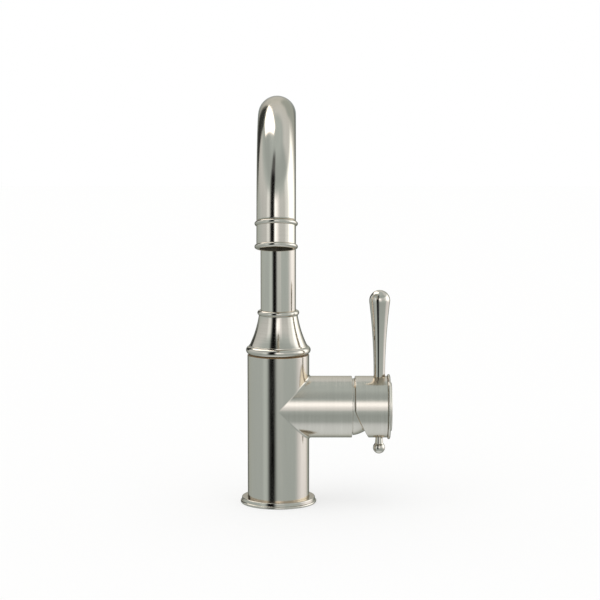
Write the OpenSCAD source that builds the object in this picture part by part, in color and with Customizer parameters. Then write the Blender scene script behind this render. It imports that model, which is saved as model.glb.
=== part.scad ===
// Tall basin mixer: side lever valve on a mitred body, swivelling swan neck spout.
// Millimetres. The origin is on the deck at the body's axis, +Z is up,
// the spout reaches towards -Y and the valve arm towards +X.
// Screw threads are plain cylinders at their nominal size.

/* [Body] */
// Diameter of the upright body and of the valve arm
body_d = 50; // [42:0.5:60]
// Height of the body's top edge above the deck
body_h = 121.3; // [100:0.1:150]
// Distance from the body's top edge down to the valve's axis
valve_drop = 42.8; // [38:0.1:50]
// Distance from the body's axis to the end of the valve arm
arm_len = 59.5; // [59.5:0.5:70]
// Wall round the hollow that the supply hoses run up into
body_wall = 4; // [3:0.25:6]
// Distance from the valve's axis down to the top of that hollow
hose_space_drop = 32.5; // [30:0.5:42]

/* [Base flange] */
// How far the flange's lower bead stands out from the body
flange_lip = 5.8; // [5:0.1:9]
// Height of the flange
flange_h = 5; // [4.6:0.1:8]
// Height of the lower bead
flange_bead_h = 2.3; // [1.8:0.1:2.8]
// How far the upper disc is set in from the bead
flange_step = 1.05; // [0.6:0.05:1.5]

/* [Spout] */
// Outer diameter of the spout tube
tube_d = 28.5; // [28:0.5:30]
// Wall of the spout tube
tube_wall = 1.3; // [1:0.1:1.8]
// Radius of the arch, to the tube's centre line
arch_r = 81.5; // [60:0.5:110]
// Height of the arch's centre above the body's top
arch_rise = 114; // [90:1:150]
// How far the outlet leans forward from straight down, in degrees
outlet_lean = 13; // [0:1:30]
// Length from the end of the arch to the outlet
nozzle_len = 31.4; // [29:0.1:45]
// Outer diameter of the two beads on the nozzle
nozzle_bead_d = 31.3; // [30.8:0.1:34]
// How far the spout swivels to each side, in degrees
swivel_angle = 60; // [20:5:80]

/* [Bell collar] */
// Height of the bell collar
bell_h = 35.6; // [34:0.1:50]
// Outer diameter of the neck under the bell's top bead
bell_neck_d = 31.5; // [31.2:0.1:34]
// Radius of the hollow curve of the flare
bell_flare_r = 86; // [60:1:140]
// Gap between the bell and the body, which the glide ring fills
seam_h = 0.7; // [0.5:0.1:1.5]

/* [Lever] */
// Height of the lever's top above the valve's axis
lever_rise = 95.2; // [70:0.1:130]
// Diameter of the lever's head
lever_head_d = 16.9; // [13:0.1:20]
// Diameter of the lever where it meets the hub
lever_root_d = 9.2; // [7:0.1:10]
// Diameter of the ball under the hub
finial_ball_d = 9.8; // [8:0.1:12]
// Depth of the ball's lowest point below the valve's axis
finial_drop = 38.6; // [37:0.1:44]
// Slant of the relief at the foot of the hub, in degrees
hub_slant = 24.4; // [24:0.1:27]

/* [Hub] */
// Gap between the end of the arm and the hub
hub_gap = 2.4; // [1.8:0.1:3.2]
// Solid end of the hub beyond its round cavity
hub_end_wall = 7; // [6.6:0.1:9]
// Distance from the hub's end to the lever's axis
lever_setback = 6.5; // [6.2:0.1:8]
// Thickness of the part of the end cap that shows
cap_h = 3.5; // [3.2:0.1:5]

/* [Cartridge] */
// How far the retaining nut lies inside the arm's surface
nut_inset = 5.2; // [5:0.1:7]
// How far the cartridge lies inside the nut's edge
cartridge_inset = 2.4; // [2.2:0.1:3]
// Depth of the cartridge's floor behind the end of the arm
cartridge_depth = 36; // [36:0.5:38]

/* [Deck fixing] */
// Thickness of the deck that is clamped
deck_t = 30; // [10:1:40]
// Diameter of the fixing stud
stud_d = 8; // [6:1:8]
// Length of stud left below the nut
stud_spare = 12.5; // [4:0.5:40]
// Diameter of the clamping horseshoe
horseshoe_d = 54; // [52:1:60]
// Thickness of the rubber under the deck
gasket_t = 3; // [2:0.5:5]
// Thickness of the steel horseshoe
plate_t = 2.5; // [2:0.5:4]

/* [Hidden] */
$fn = 96;
// Circles of a large radius need more steps to stay true
long_arc_fn = 1440;

// Finishes
nickel = "#b8b4a8";
raw_brass = "#b9a265";
steel = "#9a9da0";
rubber = "#2b2a28";
white_plastic = "#dcdcd6";
grey_plastic = "#8f9193";
seam_plastic = "#5a4a35";
ceramic = "#ece7dc";

// Clearances: fixed joints, running shafts, sliding faces, the round hub over its dome
cut = 1;
seat_gap = 0.05;
run_gap = 0.05;
slide_gap = 0.1;
dome_gap = 0.4;
edge = 0.35;

// Body
body_r = body_d / 2;
valve_z = body_h - valve_drop;
hose_space_top = valve_z - hose_space_drop;
// The arm is a hair slimmer than the body, so that the mitre is a clean crossing
arm_inset = 0.05;
arm_r = body_r - arm_inset;
hose_space_r = body_r - body_wall;
// The body stands in a shallow seat in the flange
flange_seat_depth = 2;
flange_seat_z = flange_h - flange_seat_depth;

// Base flange
flange_r = body_r + flange_lip;
flange_bead_r = flange_bead_h / 2;
flange_top_r = flange_r - flange_step;
flange_round = 0.8;
base_seal_inset = 1.8;
base_seal_w = 2.6;
base_seal_t = 1.6;
base_seal_r = flange_top_r - base_seal_inset;

// Nut and cartridge. The cartridge's inner sizes are shares of its radius, so that a slimmer body
// takes a smaller cartridge
nut_r = body_r - nut_inset;
cartridge_r = nut_r - cartridge_inset;

// Waterways in the body: two inlets side by side across the arm, one outlet up to the spout
inlet_x = 2;
inlet_y_share = 0.517;
inlet_y = inlet_y_share * cartridge_r;
inlet_r = 4.5;
inlet_len = 10;
way_share = 0.184;
way_r = way_share * cartridge_r;
way_rise_share = 0.287;
way_z = valve_z + way_rise_share * cartridge_r;
outlet_x = -5;
outlet_share = 0.201;
outlet_r = outlet_share * cartridge_r;
outlet_drop_share = 0.46;
outlet_z = valve_z - outlet_drop_share * cartridge_r;

// Cartridge: places along the valve's axis, from its floor outwards
chamber_x = arm_len - cartridge_depth;
chamber_gap = 0.2;
chamber_r = cartridge_r + chamber_gap;
base_t = 6;
disc_t = 4;
fixed_disc_x = chamber_x + base_t;
moving_disc_x = fixed_disc_x + disc_t;
carrier_x = moving_disc_x + disc_t;
carrier_t = 3.5;
// The lever tips this far, in degrees
flow_angle = 24;
pivot_setback = 2;
pivot_x = arm_len - pivot_setback;
// The ball on the spindle's inner end sits this far behind the pivot and drives the discs
drive_arm_share = 0.46;
drive_arm = drive_arm_share * cartridge_r;
ball_x = pivot_x - drive_arm;
ball_share = 0.144;
ball_r = ball_share * cartridge_r;
ball_play = 0.08;
ball_socket_r = ball_r + ball_play;
socket_lip = 1;
carrier_top_x = ball_x + socket_lip;
rotor_gap = 0.2;
rotor_x = carrier_x + carrier_t + rotor_gap;
shoulder_setback = 5;
housing_shoulder_x = pivot_x - shoulder_setback;
housing_roof_t = 2.5;
housing_roof_x = housing_shoulder_x - housing_roof_t;
neck_len = 8;
neck_end_x = housing_shoulder_x + neck_len;
neck_share = 0.776;
neck_r = neck_share * cartridge_r;
journal_share = 0.632;
journal_r = journal_share * cartridge_r;
journal_reach = 6;
journal_end_x = pivot_x + journal_reach;
collar_share = 0.77;
collar_r = collar_share * cartridge_r;
housing_share = 0.868;
housing_r = housing_share * cartridge_r;
base_gap = 0.1;

// Discs and ports. Angles run from +Z towards +Y and -Y
disc_gap = 0.3;
disc_r = housing_r - disc_gap;
moving_disc_share = 0.747;
moving_disc_r = moving_disc_share * cartridge_r;
moving_disc_drop_share = 0.092;
moving_disc_drop = moving_disc_drop_share * cartridge_r;
slot_in_share = 0.477;
slot_in_r = slot_in_share * cartridge_r;
slot_out_share = 0.649;
slot_out_r = slot_out_share * cartridge_r;
slot_from = 15;
slot_to = 65;
pocket_share = 0.42;
pocket_r = pocket_share * cartridge_r;
pocket_drop_share = 0.029;
pocket_drop = pocket_drop_share * cartridge_r;
pocket_depth = 2;
mid_port_drop_share = 0.201;
mid_port_drop = mid_port_drop_share * cartridge_r;
base_slot_to = 74;
base_slot_share = 0.747;
base_slot_r = base_slot_share * cartridge_r;
base_slot_depth = 2.6;
seal_share = 0.287;
seal_r = seal_share * cartridge_r;
seal_t = 1.4;
peg_r = 2;
peg_y_share = 0.603;
peg_y = peg_y_share * cartridge_r;
peg_drop_share = 0.46;
peg_z = valve_z - peg_drop_share * cartridge_r;
peg_len = 3;

// Disc carrier and rotor
carrier_share = 0.713;
carrier_r = carrier_share * cartridge_r;
block_w_share = 0.575;
block_w = block_w_share * cartridge_r;
block_h_share = 0.552;
block_h = block_h_share * cartridge_r;
// The ball moves up this far, and the discs with it, at full flow
flow_travel = drive_arm * sin(flow_angle) + run_gap;
guide_w = block_w + 2 * slide_gap;
rotor_slot_low_share = 0.448;
rotor_slot_low = rotor_slot_low_share * cartridge_r;
rotor_slot_high_share = 0.345;
rotor_slot_high = rotor_slot_high_share * cartridge_r;
pin_r = 1.5;
pin_end_gap = 0.5;

// Spindle
spindle_share = 0.46;
spindle_w = spindle_share * cartridge_r;
spindle_neck_share = 0.092;
spindle_neck_r = spindle_neck_share * cartridge_r;
spindle_heel = 4;

// Retaining nut and dome
thread_gap = 0.1;
nut_thread_r = nut_r + thread_gap;
nut_thread_depth = 8;
nut_t = 6;
nut_gap = 0.2;
nut_slots = 4;
nut_slot_w = 4;
nut_slot_d = 2;
dome_inset = 1.7;
dome_r = body_r - dome_inset;
dome_wall = 1.3;
skirt_inset = 3;
skirt_r = body_r - skirt_inset;
skirt_wall = 1.1;
skirt_len = 3;
skirt_rim_w = 1.5;
skirt_rim_t = 1;

// Hub
hub_cavity_r = dome_r + dome_gap;
hub_x = arm_len + hub_gap;
hub_end_x = pivot_x + hub_cavity_r + hub_end_wall;
lever_x = hub_end_x - lever_setback;
finial_thread_r = 2.5;
// The dome's mouth stays clear of the ball screw when the lever is tipped to full flow
mouth_spare_angle = 2;
dome_mouth_r = dome_r * sin(flow_angle + mouth_spare_angle
  + acos((lever_x - pivot_x - finial_thread_r) / dome_r));
boss_wall = 1.5;
boss_r = spindle_w / sqrt(2) + boss_wall;
boss_reach = 11;
boss_x = lever_x - boss_reach;
spindle_past_lever = 2.8;
spindle_end_x = lever_x + spindle_past_lever;
cap_recess = 1.8;
cap_spigot_share = 0.68;
cap_spigot_r = cap_spigot_share * body_r;

// End cap: a bead round a raised disc
cap_bead_r = 1.1;
cap_bead_out = 1.4;
cap_disc_share = 0.8;
cap_disc_r = cap_disc_share * body_r;
cap_disc_round = 0.9;

// Lever and ball
lever_head_r = lever_head_d / 2;
lever_root_r = lever_root_d / 2;
lever_seat = 0.5;
lever_seat_z = valve_z + body_r - lever_seat;
lever_head_z = valve_z + lever_rise - lever_head_r;
lever_thread_r = 3;
lever_thread_len = 8;
finial_ball_r = finial_ball_d / 2;
finial_ball_z = valve_z - finial_drop + finial_ball_r;
finial_neck_r = 2.8;
finial_foot_r = 3.7;
finial_seat_z = valve_z - body_r + lever_seat;

// Spout seat in the body, and the spigot that turns in it
spigot_r = 12.95;
spigot_len = 22.3;
spigot_bore_r = 9.5;
spout_bore_r = spigot_r + run_gap;
spout_bore_depth = 23.8;
spout_z = body_h + seam_h;
spigot_flange_r = 20;
spigot_flange_t = 4.5;
tube_r = tube_d / 2;
tube_in_r = tube_r - tube_wall;
socket_r = tube_in_r - seat_gap;
socket_len = 18;
o_ring_r = 0.9;
o_ring_groove_w = 2.4;
o_ring_groove_depth = 1.9;
o_ring_gap = 0.05;
o_ring_places = [4.5, 10.5];
glide_inset = 0.6;

// Stop screw at the back of the body, in an arc slot of the spigot
stop_depth = 4.8;
stop_z = body_h - stop_depth;
stop_thread_r = 2.5;
stop_tip_r = 1.9;
stop_tip_gap = 0.35;
stop_slot_depth = 2;
stop_slot_w = 2 * (stop_tip_r + stop_tip_gap);
stop_slot_angle = swivel_angle + asin((stop_tip_r + stop_tip_gap) / (spigot_r - stop_slot_depth));
stop_head_inset = 1.5;
hex_key_r = 1.45;
hex_key_depth = 2.5;

// Bell collar
bell_bead_r = 3.2;
bell_bead_out = 1.15;
bell_foot_inset = 1.8;
bell_foot_r = body_r - bell_foot_inset;
bell_ledge = 0.8;
bell_foot_z = spout_z + 2 * bell_bead_r + bell_ledge;
bell_top_bead_r = 2.1;
bell_top_bead_out = 1.15;
bell_neck_r = bell_neck_d / 2;
bell_neck_rest = 0.4;
bell_neck_z = spout_z + bell_h - 2 * bell_top_bead_r - bell_neck_rest;
bell_wall = 2.4;

// Arch and nozzle
arch_z = body_h + arch_rise;
arch_sweep = 180 - outlet_lean;
// The tube's straight end is a hair thinner in its wall and reaches a little into the arch,
// so that the two join cleanly
tube_inset = 0.06;
tube_overlap = 0.5;
tube_foot_z = spout_z + spigot_flange_t;
nozzle_bead_r = 1.65;
nozzle_bead_gap = 16.7;
bead_low = nozzle_len - nozzle_bead_r;
bead_high = bead_low - nozzle_bead_gap;
collar_top = bead_high - nozzle_bead_r;
collar_spigot_len = 7.5;
outlet_bore_r = 12;
collar_waist_r = 10.2;

// Aerator, held in the nozzle's wide bore
aerator_recess = 2.5;
aerator_len = 10.5;
aerator_wall = 2.1;
aerator_lip = 0.8;
aerator_lip_t = 1.2;
screen_t = 0.6;
screen_pitch = 2.4;
screen_bar = 0.7;
insert_len = 6.5;
aerator_seal_t = 1.6;
aerator_low = nozzle_len - aerator_recess;
aerator_high = aerator_low - aerator_len;
aerator_in_r = outlet_bore_r - seat_gap - aerator_wall;
insert_r = aerator_in_r - seat_gap;
insert_jets = 6;
insert_rings = 3;
insert_hole_r = 1.1;

// Deck fixing. The stud stands behind the hoses, inside the wall of their space
stud_inset = 9;
stud_x = stud_inset - hose_space_r;
stud_r = stud_d / 2;
stud_grip = 12;
horseshoe_gap = 0.2;
stud_top_z = hose_space_top + stud_grip;
gasket_z = -deck_t - gasket_t;
plate_z = gasket_z - plate_t;
nut_af = 13;
nut_h = 12;
nut_washer_r = 8;
nut_washer_t = 1.6;
stud_len = stud_top_z - plate_z + nut_h + stud_spare;
hose_pass_wall = 2.3;
hose_pass_x = stud_x + stud_r + horseshoe_gap + hose_pass_wall;
hose_pass_y = 15.8;

// Stands children on the valve's axis, their Z pointing out along the arm
module on_valve_axis() {
  translate([0, 0, valve_z]) rotate([0, 90, 0]) children();
}

// A round bar along the valve's axis
module bar(from, to, r) {
  on_valve_axis() translate([0, 0, from]) cylinder(h = to - from, r = r);
}

// A round port beside the valve's axis, at height z above the deck
module port(from, to, r, y, z) {
  translate([from, y, z]) rotate([0, 90, 0]) cylinder(h = to - from, r = r);
}

// A curved slot round the valve's axis, on one side of +Z
module arc_slot(from, to, r_in, r_out, angle_from, angle_to, side) {
  on_valve_axis() translate([0, 0, from])
    rotate([0, 0, side > 0 ? 180 - angle_to : 180 + angle_from])
      rotate_extrude(angle = angle_to - angle_from)
        translate([r_in, 0]) square([r_out - r_in, to - from]);
}

// Stands children at the end of the arch, their Z pointing back up the tube
module at_nozzle() {
  translate([0, -arch_r + arch_r * cos(arch_sweep), arch_z + arch_r * sin(arch_sweep)])
    rotate([-outlet_lean, 0, 0]) children();
}

module base_seal() {
  color(rubber) rotate_extrude()
    translate([base_seal_r - base_seal_w, 0]) square([base_seal_w, base_seal_t]);
}

module base_flange() {
  color(nickel) difference() {
    union() {
      rotate_extrude() union() {
        translate([flange_r - flange_bead_r, flange_bead_r]) circle(r = flange_bead_r);
        square([flange_r - flange_bead_r, flange_bead_h]);
      }
      rotate_extrude() union() {
        square([flange_top_r - flange_round, flange_h]);
        square([flange_top_r, flange_h - flange_round]);
        translate([flange_top_r - flange_round, flange_h - flange_round]) circle(r = flange_round);
      }
    }
    translate([0, 0, -cut]) cylinder(h = flange_h + 2 * cut, r = hose_space_r);
    translate([0, 0, flange_seat_z]) cylinder(h = flange_h, r = body_r + seat_gap);
    translate([0, 0, -cut]) rotate_extrude() translate([base_seal_r - base_seal_w - seat_gap, 0])
      square([base_seal_w + 2 * seat_gap, base_seal_t + seat_gap + cut]);
  }
}

module body_casting() {
  color(nickel) difference() {
    union() {
      rotate_extrude() polygon([
        [0, flange_seat_z], [body_r, flange_seat_z], [body_r, body_h - edge],
        [body_r - edge, body_h], [0, body_h]
      ]);
      on_valve_axis() rotate_extrude() polygon([
        [0, 0], [arm_r, 0], [arm_r, arm_len - edge], [arm_r - edge, arm_len], [0, arm_len]
      ]);
    }
    // Hollow for the supply hoses
    translate([0, 0, flange_seat_z - cut])
      cylinder(h = hose_space_top - flange_seat_z + cut, r = hose_space_r);
    // Hot and cold: threaded inlets, risers and cross drillings to the cartridge
    for (side = [-1, 1]) {
      translate([inlet_x, side * inlet_y, hose_space_top - cut]) cylinder(h = inlet_len + cut, r = inlet_r);
      translate([inlet_x, side * inlet_y, hose_space_top]) cylinder(h = way_z - hose_space_top, r = way_r);
      port(inlet_x - way_r, chamber_x + cut, way_r, side * inlet_y, way_z);
    }
    // Mixed water: back from the cartridge and up to the spout
    port(outlet_x - outlet_r, chamber_x + cut, outlet_r, 0, outlet_z);
    translate([outlet_x, 0, outlet_z]) cylinder(h = body_h - spout_bore_depth - outlet_z + cut, r = outlet_r);
    translate([0, 0, body_h - spout_bore_depth]) cylinder(h = spout_bore_depth + cut, r = spout_bore_r);
    // Cartridge chamber with peg holes, nut thread and the dome's seat
    bar(chamber_x, arm_len + cut, chamber_r);
    for (side = [-1, 1])
      port(chamber_x - peg_len - slide_gap, chamber_x + cut, peg_r + seat_gap, side * peg_y, peg_z);
    bar(arm_len - nut_thread_depth, arm_len + cut, nut_thread_r);
    bar(arm_len - skirt_len - slide_gap, arm_len + cut, skirt_r + seat_gap);
    // Stud hole up into the solid middle
    translate([stud_x, 0, hose_space_top - cut])
      cylinder(h = stud_grip + seat_gap + cut, r = stud_r + seat_gap);
    // Stop screw hole through the back wall
    translate([0, body_r + cut, stop_z]) rotate([90, 0, 0])
      cylinder(h = body_r - spigot_r + 2 * cut, r = stop_thread_r + seat_gap);
  }
}

module fixing_stud() {
  color(steel) translate([stud_x, 0, stud_top_z - stud_len]) rotate_extrude() polygon([
    [0, 0], [stud_r - 2 * edge, 0], [stud_r, 2 * edge], [stud_r, stud_len - 2 * edge],
    [stud_r - 2 * edge, stud_len], [0, stud_len]
  ]);
}

// A horseshoe with a hole for the stud, open towards the arm for the hoses
module horseshoe(z, t) {
  difference() {
    translate([0, 0, z]) cylinder(h = t, r = horseshoe_d / 2);
    translate([hose_pass_x, -hose_pass_y, z - cut])
      cube([horseshoe_d, 2 * hose_pass_y, t + 2 * cut]);
    translate([stud_x, 0, z - cut]) cylinder(h = t + 2 * cut, r = stud_r + horseshoe_gap);
  }
}

module horseshoe_gasket() {
  color(rubber) horseshoe(gasket_z, gasket_t);
}

module horseshoe_plate() {
  color(steel) horseshoe(plate_z, plate_t);
}

module fixing_nut() {
  color(raw_brass) translate([stud_x, 0, plate_z - nut_h]) difference() {
    union() {
      cylinder(h = nut_h, d = nut_af / cos(30), $fn = 6);
      translate([0, 0, nut_h - nut_washer_t]) cylinder(h = nut_washer_t, r = nut_washer_r);
    }
    translate([0, 0, -cut]) cylinder(h = nut_h + 2 * cut, r = stud_r + seat_gap);
  }
}

module cartridge_base() {
  color(grey_plastic) difference() {
    union() {
      bar(chamber_x, fixed_disc_x - base_gap, cartridge_r);
      for (side = [-1, 1]) port(chamber_x - peg_len, chamber_x + cut, peg_r, side * peg_y, peg_z);
    }
    for (side = [-1, 1]) {
      port(chamber_x - cut, fixed_disc_x - base_slot_depth + cut, way_r, side * inlet_y, way_z);
      port(chamber_x - cut, chamber_x + seal_t + seat_gap, seal_r + seat_gap, side * inlet_y, way_z);
      arc_slot(fixed_disc_x - base_slot_depth, fixed_disc_x + cut, slot_in_r, base_slot_r,
        slot_from, base_slot_to, side);
    }
    port(chamber_x - cut, fixed_disc_x + cut, outlet_r, 0, outlet_z);
    port(chamber_x - cut, chamber_x + seal_t + seat_gap, seal_r + seat_gap, 0, outlet_z);
    translate([fixed_disc_x - base_slot_depth, -outlet_r, outlet_z])
      cube([base_slot_depth + cut, 2 * outlet_r, valve_z - mid_port_drop - outlet_z]);
    port(fixed_disc_x - base_slot_depth, fixed_disc_x + cut, outlet_r, 0, valve_z - mid_port_drop);
  }
}

// Three rubber rings between the cartridge's base and the chamber's floor
module cartridge_seals() {
  color(rubber) for (place = [[-inlet_y, way_z], [inlet_y, way_z], [0, outlet_z]]) difference() {
    port(chamber_x, chamber_x + seal_t, seal_r, place[0], place[1]);
    port(chamber_x - cut, chamber_x + seal_t + cut, outlet_r + slide_gap, place[0], place[1]);
  }
}

module cartridge_housing() {
  color(white_plastic) difference() {
    union() {
      bar(fixed_disc_x, housing_shoulder_x, cartridge_r);
      bar(housing_shoulder_x - cut, neck_end_x, neck_r);
    }
    bar(fixed_disc_x - cut, housing_roof_x, housing_r);
    bar(fixed_disc_x - cut, neck_end_x + cut, journal_r + run_gap);
  }
}

module ceramic_disc_fixed() {
  color(ceramic) difference() {
    bar(fixed_disc_x, moving_disc_x, disc_r);
    for (side = [-1, 1])
      arc_slot(fixed_disc_x - cut, moving_disc_x + cut, slot_in_r, slot_out_r, slot_from, slot_to, side);
    port(fixed_disc_x - cut, moving_disc_x + cut, outlet_r, 0, valve_z - mid_port_drop);
  }
}

// At rest the pocket over the middle port is clear of both inlet slots
module ceramic_disc_moving() {
  color(ceramic) difference() {
    port(moving_disc_x, carrier_x, moving_disc_r, 0, valve_z - moving_disc_drop);
    port(moving_disc_x - cut, moving_disc_x + pocket_depth, pocket_r, 0, valve_z - pocket_drop);
  }
}

module disc_carrier() {
  color(grey_plastic) difference() {
    union() {
      port(carrier_x, carrier_x + carrier_t, carrier_r, 0, valve_z - moving_disc_drop);
      translate([carrier_x + carrier_t - cut, -block_w / 2, valve_z - block_h / 2])
        cube([carrier_top_x - carrier_x - carrier_t + cut, block_w, block_h]);
    }
    bar(carrier_x + carrier_t, carrier_top_x + cut, ball_socket_r);
  }
}

module cartridge_rotor() {
  color(raw_brass) difference() {
    union() {
      bar(rotor_x, housing_roof_x - slide_gap, collar_r);
      bar(housing_roof_x - cut, journal_end_x, journal_r);
    }
    // Guide for the carrier's block, which slides up as the valve opens
    translate([rotor_x - cut, -guide_w / 2, valve_z - block_h / 2 - slide_gap])
      cube([carrier_top_x + 2 * cut - rotor_x, guide_w, block_h + flow_travel + 2 * slide_gap]);
    // Slot that the spindle tips in
    translate([rotor_x, -spindle_w / 2 - slide_gap, valve_z - rotor_slot_low])
      cube([journal_end_x - rotor_x + cut, spindle_w + 2 * slide_gap, rotor_slot_low + rotor_slot_high]);
    translate([pivot_x, 0, valve_z]) rotate([90, 0, 0])
      cylinder(h = 2 * journal_r + 2 * cut, r = pin_r + seat_gap, center = true);
  }
}

module pivot_pin() {
  color(steel) translate([pivot_x, 0, valve_z]) rotate([90, 0, 0])
    cylinder(h = 2 * (journal_r - pin_end_gap), r = pin_r, center = true);
}

module spindle() {
  color(steel) difference() {
    union() {
      translate([pivot_x - spindle_heel, -spindle_w / 2, valve_z - spindle_w / 2])
        cube([spindle_end_x - pivot_x + spindle_heel, spindle_w, spindle_w]);
      bar(ball_x, pivot_x - spindle_heel + cut, spindle_neck_r);
      translate([ball_x, 0, valve_z]) sphere(r = ball_r);
    }
    translate([pivot_x, 0, valve_z]) rotate([90, 0, 0])
      cylinder(h = spindle_w + 2 * cut, r = pin_r + run_gap, center = true);
  }
}

// Ring nut with spanner slots, which holds the cartridge down by its shoulder
module cartridge_nut() {
  color(raw_brass) difference() {
    bar(housing_shoulder_x, housing_shoulder_x + nut_t, nut_r);
    bar(housing_shoulder_x - cut, housing_shoulder_x + nut_t + cut, neck_r + nut_gap);
    on_valve_axis() for (i = [0 : nut_slots - 1]) rotate([0, 0, i * 360 / nut_slots])
      translate([neck_r - cut, -nut_slot_w / 2, housing_shoulder_x + nut_t - nut_slot_d])
        cube([nut_r, nut_slot_w, nut_slot_d + cut]);
  }
}

module dome_shroud() {
  color(nickel) on_valve_axis() rotate_extrude() union() {
    difference() {
      translate([0, pivot_x]) circle(r = dome_r);
      translate([0, pivot_x]) circle(r = dome_r - dome_wall);
      translate([dome_mouth_r - 2 * dome_r, pivot_x - dome_r - cut])
        square([2 * dome_r, 2 * dome_r + 2 * cut]);
      translate([dome_mouth_r - cut, pivot_x - dome_r - cut]) square([dome_r, pivot_setback + dome_r + cut]);
    }
    translate([skirt_r - skirt_wall, arm_len - skirt_len]) square([skirt_wall, skirt_len]);
    translate([skirt_r - skirt_wall, arm_len]) square([skirt_rim_w, skirt_rim_t]);
  }
}

module lever_hub() {
  color(nickel) difference() {
    // Turned outline: the shell round its ball-shaped cavity, and the boss for the spindle
    on_valve_axis() rotate_extrude() union() {
      difference() {
        polygon([
          [0, hub_x], [body_r - edge, hub_x], [body_r, hub_x + edge],
          [body_r, hub_end_x - edge], [body_r - edge, hub_end_x], [0, hub_end_x]
        ]);
        translate([0, pivot_x]) circle(r = hub_cavity_r);
      }
      translate([0, boss_x]) square([boss_r, lever_x - boss_x + cut]);
    }
    // Slanted relief, so that the foot of the hub clears the arm when the lever tips out
    translate([0, 0, valve_z]) rotate([90, 0, 0]) linear_extrude(height = 2 * body_d, center = true)
      polygon([
        [hub_x, 0], [hub_x + body_d * tan(hub_slant), -body_d], [hub_x - cut, -body_d], [hub_x - cut, 0]
      ]);
    translate([boss_x - cut, -spindle_w / 2 - seat_gap, valve_z - spindle_w / 2 - seat_gap])
      cube([spindle_end_x + seat_gap - boss_x + cut, spindle_w + 2 * seat_gap, spindle_w + 2 * seat_gap]);
    // Spot faces and tapped holes for the lever above and the ball screw below
    translate([lever_x, 0, lever_seat_z]) cylinder(h = body_r, r = lever_root_r + seat_gap);
    translate([lever_x, 0, lever_seat_z - lever_thread_len - seat_gap])
      cylinder(h = lever_thread_len + cut, r = lever_thread_r + seat_gap);
    translate([lever_x, 0, finial_seat_z - body_r]) cylinder(h = body_r, r = finial_neck_r + seat_gap);
    translate([lever_x, 0, finial_seat_z - cut])
      cylinder(h = valve_z - finial_seat_z + cut, r = finial_thread_r + seat_gap);
    bar(hub_end_x - cap_recess - seat_gap, hub_end_x + cut, cap_spigot_r + seat_gap);
  }
}

// The blade of the lever swells in one long hollow curve that meets the round head smoothly
lever_rise_to_head = lever_head_z - lever_seat_z;
lever_flare_r = (lever_root_r * lever_root_r + lever_rise_to_head * lever_rise_to_head
  - lever_head_r * lever_head_r) / (2 * (lever_head_r - lever_root_r));
lever_lean = atan(lever_rise_to_head / (lever_root_r + lever_flare_r));
lever_shoulder_z = lever_head_z - lever_head_r * sin(lever_lean);
module lever() {
  color(nickel) translate([lever_x, 0, 0]) rotate_extrude() union() {
    translate([0, lever_seat_z - lever_thread_len]) square([lever_thread_r, lever_thread_len]);
    difference() {
      translate([0, lever_seat_z]) square([lever_head_r, lever_shoulder_z - lever_seat_z]);
      translate([lever_root_r + lever_flare_r, lever_seat_z]) circle(r = lever_flare_r, $fn = long_arc_fn);
    }
    intersection() {
      translate([0, lever_head_z]) circle(r = lever_head_r);
      translate([0, lever_shoulder_z]) square([2 * lever_head_r, 3 * lever_head_r]);
    }
  }
}

module finial_screw() {
  color(nickel) translate([lever_x, 0, 0]) union() {
    translate([0, 0, finial_seat_z - cut])
      cylinder(h = valve_z - spindle_w / 2 - seat_gap - finial_seat_z + cut, r = finial_thread_r);
    translate([0, 0, finial_ball_z])
      cylinder(h = finial_seat_z - finial_ball_z, r1 = finial_foot_r, r2 = finial_neck_r);
    translate([0, 0, finial_ball_z]) sphere(r = finial_ball_r);
  }
}

module hub_end_cap() {
  color(nickel) on_valve_axis() translate([0, 0, hub_end_x]) union() {
    translate([0, 0, -cap_recess]) cylinder(h = cap_recess + cut, r = cap_spigot_r);
    rotate_extrude() union() {
      translate([body_r + cap_bead_out - cap_bead_r, cap_bead_r]) circle(r = cap_bead_r);
      square([body_r + cap_bead_out - cap_bead_r, 2 * cap_bead_r]);
      square([cap_disc_r, cap_h - cap_disc_round]);
      square([cap_disc_r - cap_disc_round, cap_h]);
      translate([cap_disc_r - cap_disc_round, cap_h - cap_disc_round]) circle(r = cap_disc_round);
    }
  }
}

module glide_ring() {
  color(seam_plastic) translate([0, 0, body_h]) difference() {
    cylinder(h = seam_h, r = body_r - glide_inset);
    translate([0, 0, -cut]) cylinder(h = seam_h + 2 * cut, r = spigot_r + slide_gap);
  }
}

module spout_spigot() {
  color(raw_brass) difference() {
    union() {
      translate([0, 0, spout_z - spigot_len]) cylinder(h = spigot_len + cut, r = spigot_r);
      translate([0, 0, spout_z]) cylinder(h = spigot_flange_t, r = spigot_flange_r);
      translate([0, 0, spout_z]) cylinder(h = spigot_flange_t + socket_len, r = socket_r);
    }
    translate([0, 0, spout_z - spigot_len - cut])
      cylinder(h = spigot_len + spigot_flange_t + socket_len + 2 * cut, r = spigot_bore_r);
    for (rise = o_ring_places) translate([0, 0, spout_z - spigot_len + rise - o_ring_groove_w / 2])
      rotate_extrude() translate([spigot_r - o_ring_groove_depth, 0])
        square([o_ring_groove_depth + cut, o_ring_groove_w]);
    // Arc slot for the stop screw, centred on the back of the body
    translate([0, 0, stop_z - stop_slot_w / 2]) rotate([0, 0, 90 - stop_slot_angle])
      rotate_extrude(angle = 2 * stop_slot_angle) translate([spigot_r - stop_slot_depth, 0])
        square([stop_slot_depth + cut, stop_slot_w]);
  }
}

module spout_o_rings() {
  color(rubber) for (rise = o_ring_places) translate([0, 0, spout_z - spigot_len + rise])
    rotate_extrude() translate([spout_bore_r - o_ring_gap - o_ring_r, 0]) circle(r = o_ring_r);
}

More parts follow.
